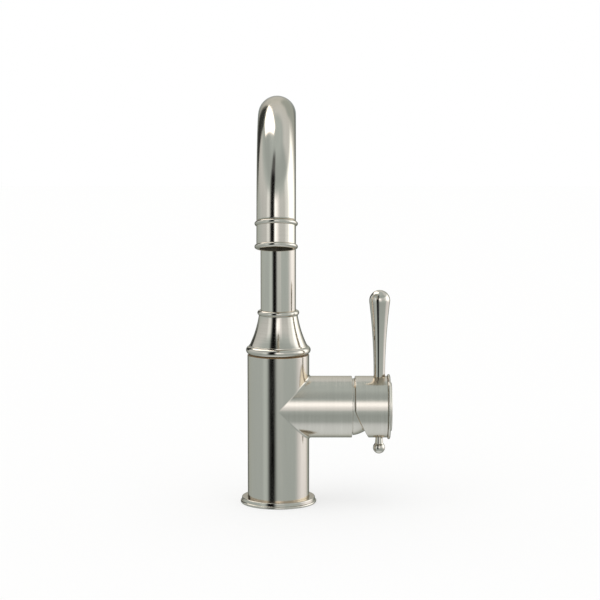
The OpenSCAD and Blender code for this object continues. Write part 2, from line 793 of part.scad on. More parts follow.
module spout_stop_screw() {
  color(steel) translate([0, body_r - stop_head_inset, stop_z]) rotate([90, 0, 0]) difference() {
    union() {
      cylinder(h = body_r - stop_head_inset - spigot_r - stop_tip_gap, r = stop_thread_r);
      cylinder(h = body_r - stop_head_inset - spigot_r + stop_slot_depth - stop_tip_gap, r = stop_tip_r);
    }
    translate([0, 0, -cut]) cylinder(h = hex_key_depth + cut, r = hex_key_r, $fn = 6);
  }
}

// Centre of the flare's hollow curve, which passes through the neck and the foot
flare_neck = [bell_neck_r, bell_neck_z];
flare_foot = [bell_foot_r, bell_foot_z];
flare_chord = norm(flare_neck - flare_foot);
flare_mid = (flare_neck + flare_foot) / 2;
flare_out = [flare_neck[1] - flare_foot[1], flare_foot[0] - flare_neck[0]] / flare_chord;
flare_centre = flare_mid + flare_out * sqrt(bell_flare_r * bell_flare_r - flare_chord * flare_chord / 4);
module bell_collar() {
  bead_centre_r = body_r + bell_bead_out - bell_bead_r;
  top_bead_z = spout_z + bell_h - bell_top_bead_r;
  color(nickel) difference() {
    rotate_extrude() union() {
      translate([bead_centre_r, spout_z + bell_bead_r]) circle(r = bell_bead_r);
      translate([0, spout_z]) square([bead_centre_r, 2 * bell_bead_r]);
      translate([0, spout_z + bell_bead_r])
        square([bell_foot_r + bell_ledge / 2, bell_foot_z - spout_z - bell_bead_r]);
      difference() {
        translate([0, bell_foot_z]) square([bell_foot_r, bell_neck_z - bell_foot_z]);
        translate(flare_centre) circle(r = bell_flare_r, $fn = long_arc_fn);
      }
      translate([0, bell_neck_z - cut]) square([bell_neck_r, top_bead_z - bell_neck_z + cut]);
      translate([bell_neck_r + bell_top_bead_out - bell_top_bead_r, top_bead_z]) circle(r = bell_top_bead_r);
      translate([0, top_bead_z]) square([bell_neck_r + bell_top_bead_out - bell_top_bead_r, bell_top_bead_r]);
    }
    translate([0, 0, spout_z - cut]) cylinder(h = bell_h + 2 * cut, r = tube_r + seat_gap);
    translate([0, 0, spout_z - cut])
      cylinder(h = spigot_flange_t + seat_gap + cut, r = spigot_flange_r + seat_gap);
    translate([0, 0, spout_z + spigot_flange_t]) cylinder(
      h = bell_neck_z - spout_z - spigot_flange_t, r1 = bell_foot_r - 2 * bell_wall, r2 = tube_r + seat_gap);
  }
}

// Straight up, over the arch and straight down to the nozzle
module spout_tube() {
  color(nickel) union() {
    translate([0, 0, tube_foot_z]) rotate_extrude()
      translate([tube_in_r, 0]) square([tube_wall, arch_z - tube_foot_z]);
    translate([0, -arch_r, arch_z]) rotate([90, 0, 90])
      rotate_extrude(angle = arch_sweep) translate([arch_r, 0]) difference() {
        circle(r = tube_r);
        circle(r = tube_in_r);
      }
    at_nozzle() translate([0, 0, -collar_top]) rotate_extrude()
      translate([tube_in_r + tube_inset, 0]) square([tube_wall - 2 * tube_inset, collar_top + tube_overlap]);
  }
}

module nozzle_collar() {
  color(nickel) at_nozzle() difference() {
    rotate_extrude() union() {
      translate([0, -nozzle_len]) square([tube_r, nozzle_len - collar_top]);
      translate([0, -collar_top]) square([socket_r, collar_spigot_len]);
      for (low = [bead_low, bead_high])
        translate([nozzle_bead_d / 2 - nozzle_bead_r, -low]) circle(r = nozzle_bead_r);
    }
    translate([0, 0, -nozzle_len - cut])
      cylinder(h = nozzle_len - aerator_high + aerator_seal_t + cut, r = outlet_bore_r);
    translate([0, 0, -nozzle_len]) cylinder(h = nozzle_len, r = collar_waist_r);
  }
}

module aerator_seal() {
  color(rubber) at_nozzle() translate([0, 0, -aerator_high]) difference() {
    cylinder(h = aerator_seal_t, r = outlet_bore_r - seat_gap);
    translate([0, 0, -cut]) cylinder(h = aerator_seal_t + 2 * cut, r = collar_waist_r - edge);
  }
}

module aerator_housing() {
  color(raw_brass) at_nozzle() translate([0, 0, -aerator_low]) difference() {
    cylinder(h = aerator_len, r = outlet_bore_r - seat_gap);
    translate([0, 0, aerator_lip_t]) cylinder(h = aerator_len, r = aerator_in_r);
    translate([0, 0, -cut]) cylinder(h = aerator_len, r = aerator_in_r - aerator_lip);
  }
}

// Plastic insert with rings of jets
module aerator_insert() {
  color(white_plastic) at_nozzle() translate([0, 0, -aerator_low + aerator_lip_t + screen_t]) difference() {
    cylinder(h = insert_len, r = insert_r);
    for (ring = [1 : insert_rings - 1], i = [0 : insert_jets * ring - 1])
      rotate([0, 0, i * 360 / (insert_jets * ring)]) translate([ring * insert_r / insert_rings, 0, -cut])
        cylinder(h = insert_len + 2 * cut, r = insert_hole_r);
  }
}

// Woven screen, drawn as a square grid
module aerator_screen() {
  holes = floor(insert_r / screen_pitch);
  color(steel) at_nozzle() translate([0, 0, -aerator_low + aerator_lip_t]) linear_extrude(height = screen_t)
    difference() {
      circle(r = insert_r);
      for (i = [-holes : holes], j = [-holes : holes])
        if (norm([i, j]) * screen_pitch < insert_r - screen_pitch)
          translate([i * screen_pitch, j * screen_pitch]) square(screen_pitch - screen_bar, center = true);
    }
}

base_seal();
base_flange();
body_casting();
fixing_stud();
horseshoe_gasket();
horseshoe_plate();
fixing_nut();
cartridge_base();
cartridge_seals();
cartridge_housing();
ceramic_disc_fixed();
ceramic_disc_moving();
disc_carrier();
cartridge_rotor();
pivot_pin();
spindle();
cartridge_nut();
dome_shroud();
lever_hub();
lever();
finial_screw();
hub_end_cap();
glide_ring();
spout_spigot();
spout_o_rings();
spout_stop_screw();
bell_collar();
spout_tube();
nozzle_collar();
aerator_seal();
aerator_housing();
aerator_insert();
aerator_screen();
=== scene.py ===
import bmesh
import bpy
import math
from mathutils import Matrix, Vector
from mathutils.geometry import tessellate_polygon


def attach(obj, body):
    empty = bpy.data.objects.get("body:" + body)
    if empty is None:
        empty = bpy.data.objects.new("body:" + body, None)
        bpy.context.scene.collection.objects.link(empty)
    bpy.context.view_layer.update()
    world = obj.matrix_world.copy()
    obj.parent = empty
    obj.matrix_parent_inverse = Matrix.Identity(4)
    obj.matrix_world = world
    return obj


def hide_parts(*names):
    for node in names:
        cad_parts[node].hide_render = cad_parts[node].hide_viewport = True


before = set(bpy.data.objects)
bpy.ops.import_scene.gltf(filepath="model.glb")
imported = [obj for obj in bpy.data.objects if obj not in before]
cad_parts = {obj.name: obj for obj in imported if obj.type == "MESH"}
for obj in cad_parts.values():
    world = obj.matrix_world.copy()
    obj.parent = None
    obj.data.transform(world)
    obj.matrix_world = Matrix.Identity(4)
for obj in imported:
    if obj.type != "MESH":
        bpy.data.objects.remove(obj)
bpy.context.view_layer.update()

# Sizes in mm and angles in degrees, as in the part's source, and the fillet that only the scene has
MM = 0.001
BODY_R = 25.0
BODY_H = 121.3
VALVE_Z = 78.5
ARM_LEN = 59.5
EDGE = 0.35
MITRE_FILLET = 1.9
SPIGOT_BORE_R = 13.0
SPIGOT_BORE_Z = 97.5
DOME_SEAT_R = 22.05
DOME_SEAT_X = 56.4
NUT_THREAD_R = 19.9
NUT_THREAD_X = 51.5
CHAMBER_R = 17.6
CHAMBER_X = 23.5
STOP_Z = 116.5
FLANGE_SEAT_Z = 3.0
HOSE_SPACE_R = 21.0
HOSE_SPACE_TOP = 46.0
INLET_R = 4.5
INLET_DEPTH = 10
INLET_X = 2
INLET_Y = 9
SPOUT_Z = 122.0
TUBE_R = 14.25
TUBE_WALL = 1.3
ARCH_R = 81.5
ARCH_Z = 235.3
OUTLET_LEAN = 13.0
NOZZLE_BORE_R = 12.0
PIVOT_X = 57.5
DOME_R = 23.3
HUB_X = 61.9
HUB_END_X = 88.2
HUB_SLANT = 24.4
CAVITY_R = 23.7
RECESS_R = 17.05
BOSS_R = 7.2
BOSS_X = 70.7
SOCKET_HALF = 4.05
SOCKET_END_X = 84.5
LEVER_X = 81.7
LEVER_TIP = 24.0
STUD_X = -12

# Where turned pieces stand: upright, along the valve's axis, on the lever's axis, and at the arch's end
UPRIGHT = Matrix.Identity(4)
ON_VALVE = Matrix.Translation((0, 0, VALVE_Z)) @ Matrix.Rotation(math.radians(90), 4, "Y")
ON_LEVER = Matrix.Translation((LEVER_X, 0, 0))
sweep = math.radians(180 - OUTLET_LEAN)
AT_NOZZLE = (Matrix.Translation((0, ARCH_R * (math.cos(sweep) - 1), ARCH_Z + ARCH_R * math.sin(sweep)))
             @ Matrix.Rotation(math.radians(-OUTLET_LEAN), 4, "X"))


def shade(hex_colour):
    """An sRGB hex colour as the linear values that Blender reads."""
    out = []
    for i in (1, 3, 5):
        c = int(hex_colour[i:i + 2], 16) / 255
        out.append(c / 12.92 if c <= 0.04045 else ((c + 0.055) / 1.055) ** 2.4)
    return (*out, 1.0)


def add(tree, kind, links=None, **settings):
    """Adds a node with its settings, and joins or sets its inputs."""
    node = tree.nodes.new(kind)
    for key, value in settings.items():
        setattr(node, key, value)
    for key, source in (links or {}).items():
        if isinstance(source, bpy.types.Node):
            source = source.outputs[0]
        if isinstance(source, bpy.types.NodeSocket):
            tree.links.new(source, node.inputs[key])
        else:
            node.inputs[key].default_value = source
    return node


# ---- materials

# Where most of Blender's noise lies, as a Map Range node's inputs
NOISE_SPAN = {1: 0.3, 2: 0.7}
PATCH_MM = 14


def surface(name):
    """A new material with its node tree, its shader and the piece's own coordinates."""
    mat = bpy.data.materials.new(name)
    mat.use_nodes = True
    tree = mat.node_tree
    shader = tree.nodes["Principled BSDF"]
    coords = add(tree, "ShaderNodeTexCoord").outputs["Object"]
    return mat, tree, shader, coords


def nickel(name, brushed, dark, light, rough, grain_mm, stretch_mm, lines, spread, place=None, bore=0.0):
    """Nickel plate. brushed says how: round the piece's Z or X axis, along the path of the bent tube, or both
    as the body, whose upright was brushed along its length and whose arm round its axis.

    The eye sees fine marks, grain_mm apart and stretch_mm long, lines mm deep, and highlights drawn out by
    spread. place is the piece's own frame where it leans, and inside its bore the plate is darkened as
    painted shade, and made duller.
    """
    mat, tree, shader, coords = surface(name)
    if place:
        coords = add(tree, "ShaderNodeMapping", {
            "Vector": coords, "Location": place.to_translation() * MM, "Rotation": place.to_euler()},
            vector_type="TEXTURE").outputs[0]
    along, across = 1000 / grain_mm, 1000 / stretch_mm
    round_z, round_x = (across, across, along), (along, across, across)
    # Highlights are drawn out along the axis on walls, and outwards on faces across it
    outward, lengthwise = 0.1, 0.01
    drawn_z = {1: (outward, outward, 0), 2: (0, 0, lengthwise)}
    drawn_x = {1: (0, outward, outward), 2: (lengthwise, 0, -outward * VALVE_Z * MM)}
    swing = 1.0
    if brushed == "path":
        # The tube's pattern keeps to its section: x, and how far it lies from the arch's centre
        spot = add(tree, "ShaderNodeSeparateXYZ", {0: coords})
        out_y = add(tree, "ShaderNodeMath", {0: spot.outputs["Y"], 1: ARCH_R * MM}, operation="ADD")
        out_z = add(tree, "ShaderNodeMath", {0: spot.outputs["Z"], 1: ARCH_Z * MM}, operation="SUBTRACT")
        out_z = add(tree, "ShaderNodeMath", {0: out_z, 1: 0.0}, operation="MAXIMUM")
        out_by = add(tree, "ShaderNodeCombineXYZ", {"X": out_y, "Y": out_z})
        out_by = add(tree, "ShaderNodeVectorMath", {0: out_by}, operation="LENGTH").outputs["Value"]
        way = add(tree, "ShaderNodeMath", {0: spot.outputs["Z"], 1: spot.outputs["Y"]}, operation="SUBTRACT")
        section = add(tree, "ShaderNodeCombineXYZ", {"X": spot.outputs["X"], "Y": out_by, "Z": way})
        pattern = add(tree, "ShaderNodeMapping", {"Vector": section, "Scale": (along, along, across)})
        tangent = add(tree, "ShaderNodeVectorMath", {0: coords, **drawn_z}, operation="MULTIPLY_ADD")
    elif brushed == "both":
        # The arm's brushing starts at the mitre, where x passes the distance from the valve's axis
        spot = add(tree, "ShaderNodeSeparateXYZ", {0: coords})
        height = add(tree, "ShaderNodeMath", {0: spot.outputs["Z"], 1: VALVE_Z * MM}, operation="SUBTRACT")
        height = add(tree, "ShaderNodeMath", {0: height}, operation="ABSOLUTE")
        on_arm = add(tree, "ShaderNodeMath", {0: spot.outputs["X"], 1: height}, operation="GREATER_THAN")
        off_arm = add(tree, "ShaderNodeMath", {0: 1.0, 1: on_arm}, operation="SUBTRACT")
        upright = add(tree, "ShaderNodeMapping", {"Vector": coords, "Scale": (along / 2, along / 2, across)})
        lying = add(tree, "ShaderNodeMapping", {"Vector": coords, "Scale": round_x})
        pattern = add(tree, "ShaderNodeMix", {"Factor": on_arm, 4: upright, 5: lying}, data_type="VECTOR")
        pattern = pattern.outputs[1]
        # The upright's colour varies about a third as much as the arm's
        swing = add(tree, "ShaderNodeMapRange", {0: on_arm, 3: 0.35, 4: 1.0})
        tangent = add(tree, "ShaderNodeCombineXYZ", {"X": on_arm, "Z": off_arm})
    else:
        scale, drawn = (round_x, drawn_x) if brushed == "X" else (round_z, drawn_z)
        pattern = add(tree, "ShaderNodeMapping", {"Vector": coords, "Scale": scale})
        tangent = add(tree, "ShaderNodeVectorMath", {0: coords, **drawn}, operation="MULTIPLY_ADD")
    marks = add(tree, "ShaderNodeTexNoise", {
        "Vector": pattern, "Scale": 1.0, "Detail": 3.0, "Roughness": 0.6}).outputs[0]
    # Broad patches, where the brush wheel dwelt longer
    patches = add(tree, "ShaderNodeTexNoise", {"Vector": coords, "Scale": 1000 / PATCH_MM, "Detail": 1.0})
    shift = add(tree, "ShaderNodeMath", {0: marks, 1: 0.5}, operation="SUBTRACT")
    shift = add(tree, "ShaderNodeMath", {0: shift, 1: swing, 2: 0.5}, operation="MULTIPLY_ADD")
    colour = add(tree, "ShaderNodeMix", {"Factor": shift, 6: shade(dark), 7: shade(light)},
                 data_type="RGBA").outputs[2]
    fine = add(tree, "ShaderNodeMapRange", {0: marks, **NOISE_SPAN, 3: rough[0], 4: rough[1]})
    broad = add(tree, "ShaderNodeMapRange", {0: patches.outputs[0], **NOISE_SPAN, 3: 0.94, 4: 1.06})
    gloss = add(tree, "ShaderNodeMath", {0: fine, 1: broad}, operation="MULTIPLY").outputs[0]
    # Painted shade: inside the bore the colour turns dark brown, and the gloss duller
    if bore:
        from_axis = add(tree, "ShaderNodeVectorMath", {0: coords, 1: (1, 1, 0)}, operation="MULTIPLY")
        from_axis = add(tree, "ShaderNodeVectorMath", {0: from_axis}, operation="LENGTH").outputs["Value"]
        inside = add(tree, "ShaderNodeMapRange", {
            0: from_axis, 1: (bore + 0.1) * MM, 2: (bore + 0.4) * MM, 3: 1.0, 4: 0.0})
        colour = add(tree, "ShaderNodeMix", {"Factor": inside, 6: colour, 7: shade("#6a6154")},
                     data_type="RGBA").outputs[2]
        gloss = add(tree, "ShaderNodeMix", {"Factor": inside, 2: gloss, 3: 0.5}, data_type="FLOAT").outputs[0]
    tree.links.new(colour, shader.inputs["Base Color"])
    tree.links.new(gloss, shader.inputs["Roughness"])
    # Nickel dims a little towards its edges, where it stays warm
    shader.inputs["Specular Tint"].default_value = shade("#ece5d9")
    bump = add(tree, "ShaderNodeBump", {"Strength": 1.0, "Distance": lines * MM, "Height": marks})
    tree.links.new(bump.outputs[0], shader.inputs["Normal"])
    drawn_out = add(tree, "ShaderNodeVectorTransform", {0: tangent}, vector_type="VECTOR",
                    convert_from="OBJECT", convert_to="WORLD")
    tree.links.new(drawn_out.outputs[0], shader.inputs["Tangent"])
    shader.inputs["Metallic"].default_value = 1.0
    shader.inputs["Anisotropic"].default_value = spread
    return mat


def plain(name, dark, light, rough, grain_mm, metallic=0.0, relief=0.004):
    """A moulded, turned, plated or fired finish: colour and gloss vary over grain_mm, with relief in mm."""
    mat, tree, shader, coords = surface(name)
    grain = add(tree, "ShaderNodeTexNoise", {"Vector": coords, "Scale": 1000 / grain_mm, "Detail": 2.0})
    colour = add(tree, "ShaderNodeMix", {"Factor": grain.outputs[0], 6: shade(dark), 7: shade(light)},
                 data_type="RGBA")
    gloss = add(tree, "ShaderNodeMapRange", {0: grain.outputs[0], **NOISE_SPAN, 3: rough[0], 4: rough[1]})
    bump = add(tree, "ShaderNodeBump", {"Strength": 1.0, "Distance": relief * MM, "Height": grain.outputs[0]})
    tree.links.new(colour.outputs[2], shader.inputs["Base Color"])
    tree.links.new(gloss.outputs[0], shader.inputs["Roughness"])
    tree.links.new(bump.outputs[0], shader.inputs["Normal"])
    shader.inputs["Metallic"].default_value = metallic
    return mat


SATIN = dict(dark="#c6bdb0", light="#dad0c3", rough=(0.12, 0.19), grain_mm=1.2, stretch_mm=40,
             lines=0.0008, spread=0.3)
SATIN_TURNED = SATIN | dict(dark="#c9c0b3", light="#d7cdc0", rough=(0.09, 0.13), grain_mm=1.0)
# Satin nickel plate on cast brass, brushed round each turned form: soft reflections with fine rings. The
# real lines are finer than a pixel, so they are drawn about 1 mm apart.
satin_body = nickel("satin_nickel_body", "both", **SATIN)
satin_upright = nickel("satin_nickel_upright", "Z", **SATIN_TURNED)
# The nozzle's collar has painted shade inside its bore
satin_nozzle = nickel("satin_nickel_nozzle", "Z", **SATIN_TURNED, place=AT_NOZZLE, bore=NOZZLE_BORE_R)
satin_lying = nickel("satin_nickel_lying", "X", **SATIN)
# The same plate on the bent tube, brushed along its way: a soft bloom with faint streaks over the arch
satin_tube = nickel("satin_nickel_tube", "path", dark="#c9c0b3", light="#d9cfc2", rough=(0.10, 0.14),
                    grain_mm=2.5, stretch_mm=60, lines=0.0002, spread=0.0)
# Nickel plate finished by hand on a soft wheel: crisp reflections with a faint haze
polished = nickel("polished_nickel", "Z", dark="#cec5b8", light="#d4cabd", rough=(0.07, 0.09), grain_mm=2,
                  stretch_mm=12, lines=0.0002, spread=0.0)
# Turned brass, unplated and slightly dulled
brass = plain("turned_brass", "#b89a52", "#cdb06a", (0.24, 0.34), 3, metallic=1.0, relief=0.002)
# The aerator's brass ring, browned by water and painted darker still as the shade inside the mouth: dark and
# matt
browned_shaded_brass = plain("water_browned_brass_painted_shade", "#6b5836", "#7d6a45", (0.40, 0.52), 2, metallic=1.0, relief=0.003)
# Bright zinc on steel: bluish grey with a cloudy spangle
zinc = plain("bright_zinc", "#a9adb2", "#c3c7ca", (0.25, 0.38), 4, metallic=1.0, relief=0.003)
# Moulded rubber: dark, matt, with a faint bloom
rubber = plain("moulded_rubber", "#1d1c1b", "#2c2a28", (0.62, 0.75), 2)
# Injection-moulded acetal and nylon, with a light spark-eroded texture
white_acetal = plain("moulded_white_acetal", "#d9d9d3", "#e6e6e1", (0.38, 0.48), 1.5)
grey_nylon = plain("moulded_grey_nylon", "#84878a", "#95989a", (0.42, 0.52), 1.5)
# A thin bearing ring of brown acetal, a little shiny where it runs
brown_acetal = plain("moulded_brown_acetal", "#7a5f3a", "#8e7148", (0.35, 0.45), 1.5)
# Lapped alumina: smooth, warm white, with a wax-like gloss
alumina = plain("lapped_alumina", "#e3ddd0", "#eee9de", (0.12, 0.18), 6, relief=0.0)

NODE_FINISH = {
    "base_seal": rubber, "horseshoe_gasket": rubber, "horseshoe_plate": zinc, "cartridge_base": grey_nylon,
    "cartridge_seals": rubber, "cartridge_housing": white_acetal, "ceramic_disc_fixed": alumina,
    "ceramic_disc_moving": alumina, "disc_carrier": grey_nylon, "cartridge_rotor": brass, "pivot_pin": zinc,
    "spindle": zinc, "cartridge_nut": brass, "spout_spigot": brass, "spout_o_rings": rubber,
    "spout_stop_screw": zinc, "aerator_seal": rubber, "aerator_housing": browned_shaded_brass,
    "aerator_insert": white_acetal,
}
for node, finish in NODE_FINISH.items():
    for material_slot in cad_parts[node].material_slots:
        material_slot.link = "OBJECT"
        material_slot.material = finish


# ---- shaping

# In degrees: corners that turn by more than this are shaded as sharp
SHARP_CORNER = 35


def arc(cx, cz, r, start, end, steps=12):
    """Points of an arc, its angles in degrees from the outward direction."""
    out = []
    for i in range(steps + 1):
        a = math.radians(start + (end - start) * i / steps)
        out.append((cx + r * math.cos(a), cz + r * math.sin(a)))
    return out


def soften(points, steps=4):
    """Rounds each corner that gives a third number, its radius. The ends stay as they are."""
    out = []
    for i, point in enumerate(points):
        here = Vector(point[:2])
        if len(point) < 3 or i in (0, len(points) - 1):
            out.append(here)
            continue
        before = Vector(points[i - 1][:2]) - here
        after = Vector(points[i + 1][:2]) - here
        half = before.angle(after) / 2
        reach = point[2] / math.tan(half)
        centre = here + (before.normalized() + after.normalized()).normalized() * point[2] / math.sin(half)
        first = here + before.normalized() * reach - centre
        last = here + after.normalized() * reach - centre
        turn = first.angle_signed(last)
        for j in range(steps + 1):
            a = -turn * j / steps
            out.append(centre + Vector((first.x * math.cos(a) - first.y * math.sin(a),
                                        first.x * math.sin(a) + first.y * math.cos(a))))
    return out


def stitch(bm, lower, upper):
    """Joins two loops of points by faces. A loop of one point is a pole."""
    count = max(len(lower), len(upper))
    for i in range(count):
        j = (i + 1) % count
        ring = [lower[i % len(lower)], lower[j % len(lower)], upper[j % len(upper)], upper[i % len(upper)]]
        face = list(dict.fromkeys(ring))
        if len(face) > 2:
            bm.faces.new(face)


def loops_of(bm, outline_at, place, steps):
    """The loops that an outline of (radius, height) sweeps round its axis. It may change with the angle."""
    on_axis = 1e-6
    outlines = [outline_at(2 * math.pi * i / steps) for i in range(steps)]
    loops = []
    for j in range(len(outlines[0])):
        if outlines[0][j][0] < on_axis:
            loops.append([bm.verts.new(place @ Vector((0, 0, outlines[0][j][1])) * MM)])
            continue
        loop = []
        for i, outline in enumerate(outlines):
            a = 2 * math.pi * i / steps
            r, h = outline[j]
            loop.append(bm.verts.new(place @ Vector((r * math.cos(a), r * math.sin(a), h)) * MM))
        loops.append(loop)
    return loops


def plate(bm, rim, holes):
    """A flat face inside a loop of points, with holes."""
    borders = [rim] + holes
    every = [v for border in borders for v in border]
    for a, b, c in tessellate_polygon([[v.co for v in border] for border in borders]):
        bm.faces.new((every[a], every[b], every[c]))


def even_shading(piece):
    """Lets the big faces lead the shading, so that the narrow rounds along edges catch a clean light."""
    even = piece.modifiers.new("even shading", "WEIGHTED_NORMAL")
    even.keep_sharp = True


def finish_piece(bm, name, finish, sharp=SHARP_CORNER):
    """Turns a bmesh into an object with outward faces, smooth except at sharp corners."""
    weld = 0.001 * MM
    bmesh.ops.remove_doubles(bm, verts=bm.verts, dist=weld)
    bmesh.ops.dissolve_degenerate(bm, edges=bm.edges, dist=weld / 10)
    bmesh.ops.recalc_face_normals(bm, faces=bm.faces)
    mesh = bpy.data.meshes.new(name)
    bm.to_mesh(mesh)
    bm.free()
    mesh.shade_smooth()
    mesh.set_sharp_from_angle(angle=math.radians(sharp))
    mesh.materials.append(finish)
    piece = bpy.data.objects.new(name, mesh)
    bpy.context.scene.collection.objects.link(piece)
    even_shading(piece)
    return piece


def turned(name, outline, place, finish, steps=160):
    """A piece turned on a lathe. Its outline closes on itself, or starts and ends on the axis."""
    bm = bmesh.new()
    points = soften(outline)
    loops = loops_of(bm, lambda angle: points, place, steps)
    for lower, upper in zip(loops, loops[1:]):
        stitch(bm, lower, upper)
    if len(loops[0]) > 1:
        stitch(bm, loops[-1], loops[0])
    return finish_piece(bm, name, finish)


def baked(piece, name):
    """The piece with its modifiers made real, as a plain mesh under its final name."""
    shape = piece.evaluated_get(bpy.context.evaluated_depsgraph_get())
    mesh = bpy.data.meshes.new_from_object(shape)
    bpy.data.objects.remove(piece)
    mesh.name = name
    out = bpy.data.objects.new(name, mesh)
    bpy.context.scene.collection.objects.link(out)
    return out


def settle(piece, body, slot, *nodes):
    """The piece rides on its body and stands for its nodes, which are hidden. slot is not used."""
    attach(piece, body)
    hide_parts(*nodes)
    return piece


# ---- the body: an upright and an arm that meet in a mitre with a small fillet

def body_skin(steps=192, fillet_steps=6):
    """The upright and the arm with their bores, before the stop screw's hole."""
    bm = bmesh.new()
    half = steps // 2
    turn = [2 * math.pi * i / steps for i in range(steps)]

    def at(x, y, z):
        return bm.verts.new(Vector((x, y, z)) * MM)

    def ring_z(r, z):
        return [at(r * math.sin(t), -r * math.cos(t), z) for t in turn]

    def ring_x(r, x):
        return [at(x, -r * math.cos(t), VALVE_Z + r * math.sin(t)) for t in turn]

    top = ring_z(BODY_R, BODY_H - EDGE)
    foot = ring_z(BODY_R, FLANGE_SEAT_Z)
    mouth = ring_x(BODY_R, ARM_LEN - EDGE)
    # Loops this far from the mitre end the shading of its corners there
    margin = 0.4
    reach = BODY_R + MITRE_FILLET
    # Where the fillet leaves the upright, above and below the arm, and the waist line at the back of it
    above, below, fillets = [], [], {1: [], -1: []}
    for i in range(half + 1):
        s, c = math.sin(turn[i]), math.cos(turn[i])
        if i in (0, half):
            s = 0.0
        for side, edge in ((1, above), (-1, below)):
            centre = Vector((reach * s, -reach * c, side * reach * s))
            to_upright = Vector((-s, c, 0))
            to_arm = Vector((0, c, -side * s))
            points = []
            for j in range(fillet_steps + 1):
                way = to_upright if s == 0.0 else to_upright.slerp(to_arm, j / fillet_steps)
                arm_point = centre + way * MITRE_FILLET
                points.append(at(arm_point.x, arm_point.y, VALVE_Z + arm_point.z))
            fillets[side].append(points)
            edge.append(points[0])
    waist = [at(BODY_R * math.sin(t), -BODY_R * math.cos(t), VALVE_Z) for t in turn[half:] + turn[:1]]
    for side, edge, end in ((1, above, top), (-1, below, foot)):
        line = edge + waist[1:-1]
        border = [at(v.co.x / MM, v.co.y / MM, v.co.z / MM + side * margin) for v in line]
        stitch(bm, line, border)
        stitch(bm, border, end)
    for side in (1, -1):
        arm_border = []
        for i in range(half + 1):
            v = fillets[side][i][fillet_steps]
            arm_border.append(at(v.co.x / MM + margin, v.co.y / MM, v.co.z / MM))
        for i in range(half):
            for j in range(fillet_steps):
                a, b = fillets[side][i], fillets[side][i + 1]
                bm.faces.new((a[j], b[j], b[j + 1], a[j + 1]))
            a, b = fillets[side][i][fillet_steps], fillets[side][i + 1][fillet_steps]
            k, m = (i, i + 1) if side > 0 else (-i % steps, -(i + 1) % steps)
            bm.faces.new((a, b, arm_border[i + 1], arm_border[i]))
            bm.faces.new((arm_border[i], arm_border[i + 1], mouth[m], mouth[k]))
    # Over the top edge and down the bore that the spout's spigot turns in
    last = top
    for r, z in soften([
            (BODY_R, BODY_H - EDGE), (BODY_R, BODY_H, EDGE * 0.98), (SPIGOT_BORE_R, BODY_H, 0.3),
            (SPIGOT_BORE_R, SPIGOT_BORE_Z)])[1:]:
        loop = ring_z(r, z)
        stitch(bm, last, loop)
        last = loop
    stitch(bm, last, [at(0, 0, SPIGOT_BORE_Z)])
    # Into the arm: the dome's seat, the nut's thread and the cartridge chamber
    last = mouth
    for r, x in soften([
            (BODY_R, ARM_LEN - EDGE), (BODY_R, ARM_LEN, EDGE * 0.98), (DOME_SEAT_R, ARM_LEN, 0.2),
            (DOME_SEAT_R, DOME_SEAT_X), (NUT_THREAD_R, DOME_SEAT_X), (NUT_THREAD_R, NUT_THREAD_X),
            (CHAMBER_R, NUT_THREAD_X), (CHAMBER_R, CHAMBER_X)])[1:]:
        loop = ring_x(r, x)
        stitch(bm, last, loop)
        last = loop
    stitch(bm, last, [at(CHAMBER_X, 0, VALVE_Z)])
    # Up into the hose space, whose ceiling has the two threaded inlets
    last = foot
    for r, z in ((HOSE_SPACE_R, FLANGE_SEAT_Z), (HOSE_SPACE_R, HOSE_SPACE_TOP)):
        loop = ring_z(r, z)
        stitch(bm, last, loop)
        last = loop
    inlets = []
    lead_in, inlet_end = 0.3, HOSE_SPACE_TOP + INLET_DEPTH
    round_inlet = [2 * math.pi * i / 48 for i in range(48)]
    for side in (-1, 1):
        rims = []
        for r, z in ((INLET_R + lead_in, HOSE_SPACE_TOP), (INLET_R, HOSE_SPACE_TOP + lead_in),
                     (INLET_R, inlet_end)):
            rims.append([at(INLET_X + r * math.cos(t), side * INLET_Y + r * math.sin(t), z)
                         for t in round_inlet])
        for lower, upper in zip(rims, rims[1:]):
            stitch(bm, lower, upper)
        stitch(bm, rims[-1], [at(INLET_X, side * INLET_Y, inlet_end)])
        inlets.append(rims[0])
    plate(bm, last, inlets)
    return finish_piece(bm, "body_rough", satin_body)


def with_stop_hole(rough):
    """The body with the stop screw's hole, which has a small lead-in, through the back wall."""
    # The drill is measured outwards from drill_y, just past the bore, and meets the skin that far out
    drill_y, tip, hole_r, mouth_r = 13.2, -2.5, 2.55, 3.1
    skin = BODY_R - drill_y
    end = skin + 2.2
    backwards = Matrix.Translation((0, drill_y, STOP_Z)) @ Matrix.Rotation(math.radians(-90), 4, "X")
    drill = turned("drill", [
        (0, tip), (hole_r, tip), (hole_r, skin - 0.4), (mouth_r, skin + 0.3), (mouth_r, end), (0, end),
    ], backwards, satin_body, steps=48)
    drill.modifiers.clear()
    rough.modifiers.clear()
    cut = rough.modifiers.new("stop hole", "BOOLEAN")
    cut.operation = "DIFFERENCE"
    cut.solver = "EXACT"
    cut.object = drill
    body = baked(rough, "body_casting_skin")
    bpy.data.objects.remove(drill)
    body.data.set_sharp_from_angle(angle=math.radians(SHARP_CORNER))
    even_shading(body)
    return body


settle(with_stop_hole(body_skin()), "base", "satin_nickel", "body_casting")

